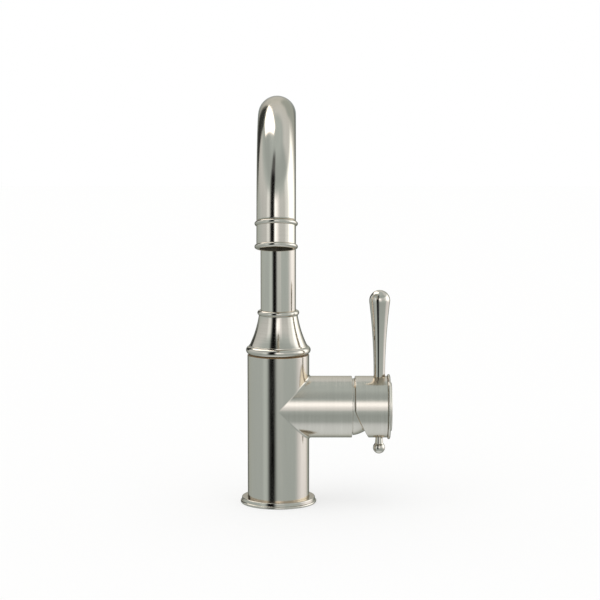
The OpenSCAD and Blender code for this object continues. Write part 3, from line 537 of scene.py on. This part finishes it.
# ---- the base flange: an outer bead, a disc with a soft edge, and the seal's groove below
groove_in, groove_out, groove_top = 25.3, 28, 1.65
bead_at, bead_r = 29.65, 1.15
disc_r, disc_top, socket_r = 29.75, 5, 25.05
flange = turned("base_flange_ring", [
    (23, 0), (groove_in, 0), (groove_in, groove_top), (groove_out, groove_top), (groove_out, 0),
    *arc(bead_at, bead_r, bead_r, -90, 82, 16), (disc_r, 2.6), (disc_r, disc_top, 0.8),
    (socket_r, disc_top, 0.25), (socket_r, FLANGE_SEAT_Z), (HOSE_SPACE_R, FLANGE_SEAT_Z),
    (HOSE_SPACE_R, 0, 0.3), (23, 0),
], UPRIGHT, satin_upright, steps=192)
settle(flange, "base", "satin_nickel", "base_flange")

# ---- the bearing ring under the bell
glide_r, glide_bore, glide_edge = 24.4, 13.05, 0.15
glide = turned("glide_bearing_ring", [
    (18, BODY_H), (glide_r, BODY_H, glide_edge), (glide_r, SPOUT_Z, glide_edge),
    (glide_bore, SPOUT_Z, glide_edge), (glide_bore, BODY_H, glide_edge), (18, BODY_H),
], UPRIGHT, brown_acetal, steps=192)
settle(glide, "base", "brown_plastic", "glide_ring")

# ---- the bell: a fat bead, a ledge, the hollow flare and the bead at its neck
neck, foot, flare_r = Vector((15.75, 153.0)), Vector((23.2, 129.2)), 86
chord = (neck - foot).length
out = Vector((neck.y - foot.y, foot.x - neck.x)) / chord
flare_centre = (neck + foot) / 2 + out * math.sqrt(flare_r ** 2 - chord ** 2 / 4)
to_foot, to_neck = foot - flare_centre, neck - flare_centre
fat_bead_r, neck_bead_r, neck_bead_z = 3.2, 2.1, 155.5
ledge_r, bore_r, hollow_r, hollow_top = 23.6, 14.3, 20.05, 126.55
bell = turned("bell_flared_collar", [
    (21, SPOUT_Z), *arc(22.95, SPOUT_Z + fat_bead_r, fat_bead_r, -90, 76, 24),
    (ledge_r, foot.y - 0.6), (ledge_r, foot.y, 0.3),
    *arc(*flare_centre, flare_r, math.degrees(math.atan2(to_foot.y, to_foot.x)) + 360,
         math.degrees(math.atan2(to_neck.y, to_neck.x)) + 360, 28),
    (neck.x, neck.y + 0.5), *arc(14.8, neck_bead_z, neck_bead_r, -61, 90, 20),
    (bore_r, neck_bead_z + neck_bead_r, 0.1), (bore_r, neck.y), (18.4, hollow_top),
    (hollow_r, hollow_top), (hollow_r, SPOUT_Z, 0.2), (21, SPOUT_Z),
], UPRIGHT, satin_upright, steps=192)
settle(bell, "spout", "satin_nickel", "bell_collar")

# ---- the hub: turned, hollowed by a ball-shaped cavity, with a slanted relief at its foot

def hub_outline(angle):
    """The hub's outline, whose open end slants at the foot. Local x points down on the valve's axis."""
    k = max(0.0, math.cos(angle)) * math.tan(math.radians(HUB_SLANT))
    lead = HUB_X - PIVOT_X
    a, b, c = 1 + k * k, 2 * k * lead, lead * lead - CAVITY_R ** 2
    inner = (-b + math.sqrt(b * b - 4 * a * c)) / (2 * a)
    start = math.degrees(math.atan2(lead + k * inner, inner))
    recess_x = HUB_END_X - 1.85
    return soften([
        (0, recess_x), (RECESS_R, recess_x), (RECESS_R, HUB_END_X, 0.15), (BODY_R, HUB_END_X, 0.55),
        (BODY_R, HUB_X + k * BODY_R, 0.7), (inner, HUB_X + k * inner, 0.45),
        *arc(0, PIVOT_X, CAVITY_R, start + 2, math.degrees(math.acos(BOSS_R / CAVITY_R)), 16),
        (BOSS_R, BOSS_X, 0.4), (BOSS_R - 1, BOSS_X),
    ])


bm = bmesh.new()
loops = loops_of(bm, hub_outline, ON_VALVE, 192)
for lower, upper in zip(loops, loops[1:]):
    stitch(bm, lower, upper)
# The square socket that the spindle drives
socket = []
for depth in (BOSS_X, SOCKET_END_X):
    socket.append([bm.verts.new(ON_VALVE @ Vector((x * SOCKET_HALF, y * SOCKET_HALF, depth)) * MM)
                   for x, y in ((1, 1), (-1, 1), (-1, -1), (1, -1))])
stitch(bm, socket[0], socket[1])
bm.faces.new(socket[1])
plate(bm, loops[-1], [socket[0]])
settle(finish_piece(bm, "hub_shell", satin_lying), "handle", "satin_nickel", "lever_hub")

# ---- the cap that closes the hub: a plug, a bead and a low step
plug_r, plug_foot, bead_at, bead_r = 17, HUB_END_X - 1.8, 25.3, 1.1
step_r, step_edge, cap_top = 20, 0.9, HUB_END_X + 3.5
cap = turned("hub_beaded_cap", [
    (0, plug_foot), (plug_r, plug_foot, 0.3), (plug_r, HUB_END_X), (24, HUB_END_X),
    *arc(bead_at, HUB_END_X + bead_r, bead_r, -125, 90, 22), (step_r, HUB_END_X + 2 * bead_r),
    *arc(step_r - step_edge, cap_top - step_edge, step_edge, 0, 90, 8), (0, cap_top),
], ON_VALVE, satin_lying, steps=192)
settle(cap, "handle", "satin_nickel", "hub_end_cap")

# ---- the lever and the ball screw that clamps the spindle
root_r, head_r, seat_z, head_z = 4.6, 8.45, 103.0, 165.25
stub_r, stub_z = 3, 95
rise = head_z - seat_z
flare_r = (root_r ** 2 + rise ** 2 - head_r ** 2) / (2 * (head_r - root_r))
lean = math.degrees(math.atan(rise / (root_r + flare_r)))
lever = turned("lever_blade", [
    (0, stub_z), (stub_r, stub_z), (stub_r, seat_z), (root_r, seat_z, 0.25), (root_r, seat_z + 0.6),
    *arc(root_r + flare_r, seat_z, flare_r, 179.8, 180 - lean, 32)[1:],
    *arc(0, head_z, head_r, -lean + 2, 90, 24),
], ON_LEVER, polished, steps=96)
settle(lever, "handle", "polished_nickel", "lever")
screw_r, screw_top, neck_r, neck_top, ball_r, ball_z = 2.5, 74.45, 2.8, 54, 4.9, 44.8
ball = turned("ball_screw", [
    (0, screw_top), (screw_r, screw_top, 0.4), (screw_r, neck_top), (neck_r, neck_top), (3.33, 48.6, 1.2),
    *arc(0, ball_z, ball_r, 42, -90, 24),
], ON_LEVER, polished, steps=64)
settle(ball, "handle", "polished_nickel", "finial_screw")

# ---- the dome that the hub turns round, with a fine shadow gap where it leaves the arm
mouth = 90 - LEVER_TIP - 2 - math.degrees(math.acos((LEVER_X - PIVOT_X - screw_r) / DOME_R))
rim_r, rim_bore, rim_foot, shadow_gap = 22, 20.9, 56.5, 0.55
dome = turned("dome_cover", [
    (21, rim_foot), (rim_r, rim_foot, 0.15), (rim_r, ARM_LEN + shadow_gap),
    (23.15, ARM_LEN + shadow_gap + 0.05, 0.12), *arc(0, PIVOT_X, DOME_R, 7.5, mouth, 20),
    *arc(0, PIVOT_X, rim_r, mouth - 1, 8, 20), (rim_bore, 60.5), (rim_bore, rim_foot, 0.15), (21, rim_foot),
], ON_VALVE, polished, steps=160)
settle(dome, "base", "polished_nickel", "dome_shroud")

# ---- the nozzle's collar: two beads on a short sleeve
bead_at, bead_r, lower_bead, upper_bead = 14, 1.65, -29.75, -13.05
lip, shoulder = lower_bead - bead_r, upper_bead + bead_r
stub_r, stub_end, way_r, way_foot = 12.9, -3.9, 10.2, -16.8
collar = turned("nozzle_beaded_collar", [
    (12.6, lip), *arc(bead_at, lower_bead, bead_r, -90, 81, 18), (TUBE_R, lower_bead + 1.85),
    (TUBE_R, upper_bead - 1.85), *arc(bead_at, upper_bead, bead_r, -81, 90, 18), (stub_r, shoulder),
    (stub_r, stub_end, 0.3), (way_r, stub_end), (way_r, way_foot), (NOZZLE_BORE_R, way_foot),
    (NOZZLE_BORE_R, lip, 0.25), (12.6, lip),
], AT_NOZZLE, satin_nozzle, steps=128)
settle(collar, "spout", "satin_nickel", "nozzle_collar")


# ---- what follows a rule is made by geometry nodes

def rule_tree(name, sizes):
    """A geometry tree with named sizes. Returns the tree, its inputs and the sockets' identifiers."""
    tree = bpy.data.node_groups.new(name, "GeometryNodeTree")
    keys = {}
    for label, value in sizes.items():
        kind = "NodeSocketInt" if isinstance(value, int) else "NodeSocketFloat"
        keys[label] = tree.interface.new_socket(name=label, in_out="INPUT", socket_type=kind).identifier
    tree.interface.new_socket(name="Geometry", in_out="OUTPUT", socket_type="NodeSocketGeometry")
    return tree, tree.nodes.new("NodeGroupInput").outputs, keys


def by_rule(name, tree, keys, sizes, geometry, finish, place=UPRIGHT):
    """Ends the tree, runs it with its sizes and returns the result as a plain piece."""
    real = add(tree, "GeometryNodeRealizeInstances", {0: geometry})
    smooth = add(tree, "GeometryNodeSetShadeSmooth", {"Geometry": real})
    done = add(tree, "GeometryNodeSetMaterial", {"Geometry": smooth, "Material": finish})
    add(tree, "NodeGroupOutput", {0: done})
    mesh = bpy.data.meshes.new(name)
    holder = bpy.data.objects.new(name + "_rule", mesh)
    bpy.context.scene.collection.objects.link(holder)
    run = holder.modifiers.new("rule", "NODES")
    run.node_group = tree
    for label, value in sizes.items():
        run[keys[label]] = value
    piece = baked(holder, name)
    piece.data.transform(Matrix.Scale(MM, 4) @ place)
    return piece


# The spout's tube: straight up, over the arch, and on to the nozzle
SPOUT = {"Foot height": 126.5, "Arch height": ARCH_Z, "Arch radius": ARCH_R, "Sweep": sweep,
         "Tail": 11.4, "Tube radius": TUBE_R, "Steps along": 236, "Steps round": 96}
tree, size, keys = rule_tree("swan_neck", SPOUT)
riser = add(tree, "ShaderNodeMath", {0: size["Arch height"], 1: size["Foot height"]}, operation="SUBTRACT")
bow = add(tree, "ShaderNodeMath", {0: size["Arch radius"], 1: size["Sweep"]}, operation="MULTIPLY")
to_tail = add(tree, "ShaderNodeMath", {0: riser, 1: bow}, operation="ADD")
total = add(tree, "ShaderNodeMath", {0: to_tail, 1: size["Tail"]}, operation="ADD")
line = add(tree, "GeometryNodeCurvePrimitiveLine")
line = add(tree, "GeometryNodeResampleCurve", {"Curve": line, "Count": size["Steps along"]})
share = add(tree, "GeometryNodeSplineParameter").outputs["Factor"]
way = add(tree, "ShaderNodeMath", {0: share, 1: total}, operation="MULTIPLY")
up = add(tree, "ShaderNodeMath", {0: way, 1: riser}, operation="MINIMUM")
up = add(tree, "ShaderNodeMath", {0: up, 1: size["Foot height"]}, operation="ADD")
past = add(tree, "ShaderNodeMath", {0: way, 1: riser}, operation="SUBTRACT")
past = add(tree, "ShaderNodeMath", {0: past, 1: 0.0}, operation="MAXIMUM")
past = add(tree, "ShaderNodeMath", {0: past, 1: size["Arch radius"]}, operation="DIVIDE")
angle = add(tree, "ShaderNodeMath", {0: past, 1: size["Sweep"]}, operation="MINIMUM")
tail = add(tree, "ShaderNodeMath", {0: way, 1: to_tail}, operation="SUBTRACT")
tail = add(tree, "ShaderNodeMath", {0: tail, 1: 0.0}, operation="MAXIMUM")
sine = add(tree, "ShaderNodeMath", {0: angle}, operation="SINE")
cosine = add(tree, "ShaderNodeMath", {0: angle}, operation="COSINE")
in_by = add(tree, "ShaderNodeMath", {0: cosine, 1: 1.0}, operation="SUBTRACT")
in_by = add(tree, "ShaderNodeMath", {0: in_by, 1: size["Arch radius"]}, operation="MULTIPLY")
drop = add(tree, "ShaderNodeMath", {0: tail, 1: sine}, operation="MULTIPLY")
y = add(tree, "ShaderNodeMath", {0: in_by, 1: drop}, operation="SUBTRACT")
over = add(tree, "ShaderNodeMath", {0: sine, 1: size["Arch radius"], 2: up}, operation="MULTIPLY_ADD")
z = add(tree, "ShaderNodeMath", {0: tail, 1: cosine, 2: over}, operation="MULTIPLY_ADD")
spot = add(tree, "ShaderNodeCombineXYZ", {"Y": y, "Z": z})
path = add(tree, "GeometryNodeSetPosition", {"Geometry": line, "Position": spot})
ring = add(tree, "GeometryNodeCurvePrimitiveCircle", {
    "Resolution": size["Steps round"], "Radius": size["Tube radius"]})
skin = add(tree, "GeometryNodeCurveToMesh", {"Curve": path, "Profile Curve": ring.outputs["Curve"]})
tube = by_rule("spout_swan_neck", tree, keys, SPOUT, skin, satin_tube)
wall = tube.modifiers.new("wall", "SOLIDIFY")
wall.thickness = TUBE_WALL * MM
wall.offset = -1
settle(tube, "spout", "satin_nickel", "spout_tube")

# The stud's thread: a cylinder whose radius follows the helix, pointed a little at its ends
STUD = {"Radius": 4.0, "Length": 118.0, "Pitch": 1.25, "Depth": 0.72, "Tip radius": 3.2, "Steps round": 32,
        "Rows": 560}
tree, size, keys = rule_tree("threaded_stud", STUD)
rod = add(tree, "GeometryNodeMeshCylinder", {"Vertices": size["Steps round"], "Side Segments": size["Rows"],
                                             "Radius": 1.0, "Depth": size["Length"]})
position = add(tree, "GeometryNodeInputPosition")
spot = add(tree, "ShaderNodeSeparateXYZ", {0: position})
round_by = add(tree, "ShaderNodeMath", {0: spot.outputs["Y"], 1: spot.outputs["X"]}, operation="ARCTAN2")
round_by = add(tree, "ShaderNodeMath", {0: round_by, 1: 2 * math.pi}, operation="DIVIDE")
turns = add(tree, "ShaderNodeMath", {0: spot.outputs["Z"], 1: size["Pitch"]}, operation="DIVIDE")
turns = add(tree, "ShaderNodeMath", {0: turns, 1: round_by}, operation="SUBTRACT")
flank = add(tree, "ShaderNodeMath", {0: turns, 1: 0.5}, operation="PINGPONG")
flank = add(tree, "ShaderNodeMath", {0: flank, 1: 2.0}, operation="MULTIPLY")
into = add(tree, "ShaderNodeMath", {0: flank, 1: size["Depth"]}, operation="MULTIPLY")
thread = add(tree, "ShaderNodeMath", {0: size["Radius"], 1: into}, operation="SUBTRACT")
half_len = add(tree, "ShaderNodeMath", {0: size["Length"], 1: 0.5}, operation="MULTIPLY")
from_mid = add(tree, "ShaderNodeMath", {0: spot.outputs["Z"]}, operation="ABSOLUTE")
to_end = add(tree, "ShaderNodeMath", {0: half_len, 1: from_mid}, operation="SUBTRACT")
point = add(tree, "ShaderNodeMath", {0: to_end, 1: size["Tip radius"]}, operation="ADD")
thread = add(tree, "ShaderNodeMath", {0: thread, 1: point}, operation="MINIMUM")
wide = add(tree, "ShaderNodeCombineXYZ", {"X": thread, "Y": thread, "Z": 1.0})
spun = add(tree, "ShaderNodeVectorMath", {0: position, 1: wide}, operation="MULTIPLY")
rod = add(tree, "GeometryNodeSetPosition", {"Geometry": rod, "Position": spun})
mid_z = -1
stud = by_rule("stud_threaded", tree, keys, STUD, rod, zinc, Matrix.Translation((STUD_X, 0, mid_z)))
settle(stud, "base", "zinc_steel", "fixing_stud")

# The aerator's screen: two sets of wires that pass over and under each other
SCREEN = {"Radius": 9.7, "Pitch": 1.3, "Wire radius": 0.22, "Wave": 0.21, "Wires": 15, "Steps along": 60,
          "Steps round": 6}
tree, size, keys = rule_tree("woven_screen", SCREEN)
span = add(tree, "ShaderNodeMath", {0: size["Wires"], 1: 1.0}, operation="SUBTRACT")
span = add(tree, "ShaderNodeMath", {0: span, 1: size["Pitch"]}, operation="MULTIPLY")
start = add(tree, "ShaderNodeMath", {0: span, 1: -0.5}, operation="MULTIPLY")
start = add(tree, "ShaderNodeCombineXYZ", {"Y": start})
step = add(tree, "ShaderNodeCombineXYZ", {"Y": size["Pitch"]})
rows = add(tree, "GeometryNodeMeshLine", {"Count": size["Wires"], "Start Location": start, "Offset": step})
position = add(tree, "GeometryNodeInputPosition")
spot = add(tree, "ShaderNodeSeparateXYZ", {0: position})
square = add(tree, "ShaderNodeMath", {0: spot.outputs["Y"], 1: 2.0}, operation="POWER")
rim = add(tree, "ShaderNodeMath", {0: size["Radius"], 1: 2.0}, operation="POWER")
reach = add(tree, "ShaderNodeMath", {0: rim, 1: square}, operation="SUBTRACT")
reach = add(tree, "ShaderNodeMath", {0: reach, 1: 0.5}, operation="POWER")
wire = add(tree, "GeometryNodeCurvePrimitiveLine", {"Start": (-1, 0, 0), "End": (1, 0, 0)})
wire = add(tree, "GeometryNodeResampleCurve", {"Curve": wire, "Count": size["Steps along"]})
stretch = add(tree, "ShaderNodeCombineXYZ", {"X": reach, "Y": 1.0, "Z": 1.0})
wires = add(tree, "GeometryNodeInstanceOnPoints", {"Points": rows, "Instance": wire, "Scale": stretch})
wires = add(tree, "GeometryNodeRealizeInstances", {0: wires})
both = []
for way, quarter in ((1.0, 0.0), (-1.0, math.pi / 2)):
    lift = size["Wave"]
    for axis in ("X", "Y"):
        phase = add(tree, "ShaderNodeMath", {0: spot.outputs[axis], 1: math.pi}, operation="MULTIPLY")
        phase = add(tree, "ShaderNodeMath", {0: phase, 1: size["Pitch"]}, operation="DIVIDE")
        phase = add(tree, "ShaderNodeMath", {0: phase}, operation="COSINE")
        lift = add(tree, "ShaderNodeMath", {0: lift, 1: phase}, operation="MULTIPLY")
    lift = add(tree, "ShaderNodeMath", {0: lift, 1: way}, operation="MULTIPLY")
    lift = add(tree, "ShaderNodeCombineXYZ", {"Z": lift})
    woven = add(tree, "GeometryNodeSetPosition", {"Geometry": wires, "Offset": lift})
    both.append(add(tree, "GeometryNodeTransform", {"Geometry": woven, "Rotation": (0, 0, quarter)}))
join = add(tree, "GeometryNodeJoinGeometry")
for layer in both:
    tree.links.new(layer.outputs[0], join.inputs[0])
ring = add(tree, "GeometryNodeCurvePrimitiveCircle", {
    "Resolution": size["Steps round"], "Radius": size["Wire radius"]})
mesh = add(tree, "GeometryNodeCurveToMesh", {
    "Curve": join, "Profile Curve": ring.outputs["Curve"], "Fill Caps": True})
in_mouth = AT_NOZZLE @ Matrix.Translation((0, 0, -27.3))
screen = by_rule("aerator_woven_screen", tree, keys, SCREEN, mesh, zinc, in_mouth)
settle(screen, "spout", "zinc_steel", "aerator_screen")

# ---- the hexagon nut under the deck, with its washer face and chamfered corners
half_flats, nut_top, nut_foot, chamfer_h = 6.5, -35.5, -47.5, 0.9
washer_r, washer_h, thread_r, mouth_r, lead_in = 8, 1.6, 4.05, 4.5, 0.5
corner = half_flats / math.cos(math.radians(30))
side_top = nut_top - washer_h
bm = bmesh.new()


def nut_ring(r, z, hexagonal=False):
    """A ring of points round the stud, cut by the hexagon's flats if it is hexagonal."""
    ring = []
    for i in range(72):
        a = 2 * math.pi * i / 72
        flat = half_flats / math.cos((a + math.pi / 6) % (math.pi / 3) - math.pi / 6)
        here = min(flat, r) if hexagonal else r
        ring.append(bm.verts.new(Vector((STUD_X + here * math.cos(a), here * math.sin(a), z)) * MM))
    return ring


rings = [nut_ring(corner * 0.93, nut_foot, True), nut_ring(corner, nut_foot + chamfer_h, True),
         nut_ring(corner, side_top, True), nut_ring(washer_r, side_top), nut_ring(washer_r, nut_top),
         nut_ring(mouth_r, nut_top), nut_ring(thread_r, nut_top - lead_in),
         nut_ring(thread_r, nut_foot + lead_in), nut_ring(mouth_r, nut_foot)]
for lower, upper in zip(rings, rings[1:] + rings[:1]):
    stitch(bm, lower, upper)
settle(finish_piece(bm, "fixing_hexagon_nut", brass, sharp=25), "base", "plain_brass", "fixing_nut")

# ---- floor, light and camera
# The floor reaches this far to each side, in metres
floor_half = 4
floor_mesh = bpy.data.meshes.new("floor")
floor_mesh.from_pydata([(x * floor_half, y * floor_half, 0) for x, y in ((-1, -1), (1, -1), (1, 1), (-1, 1))],
                       [], [(0, 1, 2, 3)])
floor = bpy.data.objects.new("floor", floor_mesh)
bpy.context.scene.collection.objects.link(floor)
paper = bpy.data.materials.new("white_paper_floor")
paper.use_nodes = True
tree = paper.node_tree
tree.nodes.clear()
# A matt white sweep: it keeps a faint soft shadow, and the lens sees the rest as bright as the backdrop
matt = add(tree, "ShaderNodeBsdfDiffuse", {"Color": shade("#f8f8f7")})
glow = add(tree, "ShaderNodeEmission", {"Color": (1, 1, 1, 1), "Strength": 1.0})
lens = add(tree, "ShaderNodeLightPath").outputs["Is Camera Ray"]
lift = add(tree, "ShaderNodeMath", {0: lens, 1: 0.6}, operation="MULTIPLY")
seen = add(tree, "ShaderNodeMixShader", {0: lift, 1: matt, 2: glow})
under = add(tree, "ShaderNodeNewGeometry").outputs["Backfacing"]
clear = add(tree, "ShaderNodeBsdfTransparent")
seen = add(tree, "ShaderNodeMixShader", {0: under, 1: seen, 2: clear})
add(tree, "ShaderNodeOutputMaterial", {0: seen})
floor_mesh.materials.append(paper)
floor.visible_glossy = False

# The studio: cards and flags round the object, by their bearing (0 towards the lens, + to the right)
# and their height, both in degrees. Camera rays see plain white.
world = bpy.data.worlds.new("studio")
bpy.context.scene.world = world
world.use_nodes = True
tree = world.node_tree
tree.nodes.clear()
look = add(tree, "ShaderNodeTexCoord").outputs["Generated"]
ray = add(tree, "ShaderNodeSeparateXYZ", {0: look})
toward = add(tree, "ShaderNodeMath", {0: ray.outputs["Y"], 1: -1.0}, operation="MULTIPLY")
bearing = add(tree, "ShaderNodeMath", {0: ray.outputs["X"], 1: toward}, operation="ARCTAN2")
bearing = add(tree, "ShaderNodeMath", {0: bearing}, operation="DEGREES")
height = add(tree, "ShaderNodeMath", {0: ray.outputs["Z"]}, operation="ARCSINE")
height = add(tree, "ShaderNodeMath", {0: height}, operation="DEGREES")
# The tints of the light, most of them a little cool, because the nickel itself is warm
CLEAR, PALE, WALL = (1.0, 1.0, 1.0), (0.93, 1.0, 1.04), (0.86, 1.0, 1.03)
PAPER, WARM, BLUSH = (0.90, 1.0, 1.07), (0.96, 1.0, 1.05), (0.94, 0.97, 1.03)


def tone(level, tint=PALE):
    """A level of light with its tint, as a colour. 1 is as bright as plain white."""
    return (level * tint[0], level * tint[1], level * tint[2], 1.0)


def within(value, low, high, soft):
    """1 between low and high, 0 outside, with an edge as wide as soft on each side."""
    off = add(tree, "ShaderNodeMath", {0: value, 1: (low + high) / 2}, operation="SUBTRACT")
    if value is bearing:
        off = add(tree, "ShaderNodeMath", {0: off, 1: 180.0, 2: -180.0}, operation="WRAP")
    off = add(tree, "ShaderNodeMath", {0: off}, operation="ABSOLUTE")
    half = (high - low) / 2
    return add(tree, "ShaderNodeMapRange", {0: off, 1: half - soft / 2, 2: half + soft / 2, 3: 1.0, 4: 0.0},
               interpolation_type="SMOOTHSTEP")


def card(room, colour, wide, tall, blend="MIX"):
    """The room with a card before it. wide and tall are its limits and the width of its soft edge."""
    inside = add(tree, "ShaderNodeMath", {0: within(bearing, *wide), 1: within(height, *tall)},
                 operation="MULTIPLY")
    return add(tree, "ShaderNodeMix", {"Factor": inside, 6: room, 7: colour}, data_type="RGBA",
               blend_type=blend).outputs[2]


# The pale table below, the grey walls with a lighter band, and the ceiling, from straight down to straight up
upright = add(tree, "ShaderNodeMapRange", {0: height, 1: -90.0, 2: 90.0, 3: 0.0, 4: 1.0})
room = add(tree, "ShaderNodeValToRGB", {0: upright})
stops = room.color_ramp.elements
stops.remove(stops[1])
for at, level, tint in (
        (-90, 0.93, PAPER), (-72, 0.91, PAPER), (-60, 0.82, PAPER), (-48, 0.54, WALL), (-24, 0.51, WALL),
        (-12, 0.61, WALL), (0, 0.66, WALL), (10, 0.75, PALE), (22, 0.82, PALE), (32, 0.66, WALL),
        (40, 0.56, WALL), (54, 0.56, WALL), (72, 0.68, WALL), (90, 0.66, WALL)):
    stop = stops[0] if at == -90 else stops.new((at + 90) / 180)
    stop.color = tone(level, tint)
# A lighter ceiling from the right to behind, the dim wall below it and the shade at its far edge
room = card(room, tone(0.86), (84, 200, 30), (27, 62, 16))
room = card(room, tone(0.7, CLEAR), (156, 204, 20), (-40, 14, 12), "MULTIPLY")
room = card(room, tone(0.85, CLEAR), (198, 214, 12), (20, 46, 12), "MULTIPLY")
# The big softbox at the right, with its glow on the table below it
room = card(room, tone(1.0, BLUSH), (76, 136, 24), (-22, 2, 10))
room = card(room, tone(1.45, BLUSH), (92, 127, 16), (-12, 2, 8))
room = card(room, tone(1.12), (58, 136, 14), (-2, 32, 8))
room = card(room, tone(2.1), (79, 129, 18), (-3, 30, 11))
# The dark room behind, at both sides of the pale backdrop
room = card(room, tone(0.58, WALL), (144, 172, 8), (6, 36, 10))
room = card(room, tone(0.27, WALL), (145, 171, 8), (-30, 7, 8))
room = card(room, tone(0.24, WALL), (-172, -146, 8), (-30, 4, 8))
room = card(room, tone(0.05, WALL), (-160, -133, 6), (2, 32, 9))
# The softbox hung askew under the ceiling, behind and to the left. Its five edges are straight on a
# level plane: each is given as how far it lies out along a direction across it.
SOFTBOX_LEVEL, SOFTBOX_EDGE = 2.6, 0.04
over = add(tree, "ShaderNodeMath", {0: ray.outputs["Z"], 1: 0.05}, operation="MAXIMUM")
softbox = SOFTBOX_LEVEL
for edge_x, edge_y, limit in (
        (1, 0.3, -0.03), (1, -0.65, -0.19), (-0.6, -1, 0.11), (-1, 0, 1.0), (-1.28, 1, 2.25)):
    out_by = add(tree, "ShaderNodeVectorMath", {0: look, 1: (edge_x, edge_y, 0)}, operation="DOT_PRODUCT")
    out_by = add(tree, "ShaderNodeMath", {0: out_by.outputs["Value"], 1: over}, operation="DIVIDE")
    inside = add(tree, "ShaderNodeMapRange", {
        0: out_by, 1: limit - SOFTBOX_EDGE, 2: limit + SOFTBOX_EDGE, 3: 1.0, 4: 0.0},
        interpolation_type="SMOOTHSTEP")
    softbox = add(tree, "ShaderNodeMath", {0: softbox, 1: inside}, operation="MULTIPLY")
above = add(tree, "ShaderNodeMath", {0: ray.outputs["Z"], 1: 0.0}, operation="GREATER_THAN")
softbox = add(tree, "ShaderNodeMath", {0: softbox, 1: above}, operation="MULTIPLY")
room = add(tree, "ShaderNodeMix", {"Factor": 1.0, 6: room, 7: softbox}, data_type="RGBA",
           blend_type="LIGHTEN").outputs[2]
# The gap beside the black flag lets a little more of the room in
room = card(room, tone(1.2, CLEAR), (-58, -36, 10), (-30, 27, 6), "MULTIPLY")
room = card(room, tone(1.2, CLEAR), (-58, -36, 10), (4, 30, 10), "MULTIPLY")
# The warm strip light just above the lens, with its dimmer right end
room = card(room, tone(1.12, WARM), (-12, 19, 7), (-4, 29, 14))
room = card(room, tone(1.7, WARM), (-12, 9, 6), (9, 25, 12))
room = card(room, tone(1.45, CLEAR), (-12, -3, 4), (14, 40, 10), "MULTIPLY")
# The tall black flag at the left of the lens
room = card(room, tone(0.14), (-37, -9, 12), (30, 68, 16))
room = card(room, tone(0.004), (-37.5, -9.5, 17), (-25, 48, 10))
# Metal mirrors the room, matt surfaces take an even light, and the lens sees plain white
mirror = add(tree, "ShaderNodeBackground", {"Color": room, "Strength": 1.0})
soft = add(tree, "ShaderNodeBackground", {"Color": (1, 1, 1, 1), "Strength": 0.8})
white = add(tree, "ShaderNodeBackground", {"Color": (1, 1, 1, 1), "Strength": 1.0})
path = add(tree, "ShaderNodeLightPath")
light = add(tree, "ShaderNodeMixShader", {0: path.outputs["Is Glossy Ray"], 1: soft, 2: mirror})
light = add(tree, "ShaderNodeMixShader", {0: path.outputs["Is Camera Ray"], 1: light, 2: white})
add(tree, "ShaderNodeOutputWorld", {0: light})

# A broad light from above, a little to the left of the lens, for the floor's soft shadow
lamp_data = bpy.data.lights.new("overhead_diffuser", "SUN")
lamp_data.angle = math.radians(70)
lamp_data.energy = 0.85
lamp = bpy.data.objects.new("overhead_diffuser", lamp_data)
lamp.rotation_euler = Vector((-0.35, -0.5, 1.5)).to_track_quat("Z", "Y").to_euler()
lamp.visible_glossy = False
bpy.context.scene.collection.objects.link(lamp)

# The camera that was fitted to the mixer's outline
camera_data = bpy.data.cameras.new("camera")
camera_data.sensor_width = 36
camera_data.lens = 120
camera_data.shift_x = 0.0067
camera = bpy.data.objects.new("camera", camera_data)
camera.location = (0.01425, -1.5999, 0.3605)
tilt_down = 6.945
camera.rotation_euler = (math.radians(90 - tilt_down), 0, 0)
bpy.context.scene.collection.objects.link(camera)
bpy.context.scene.camera = camera
bpy.context.scene.view_settings.view_transform = "Standard"
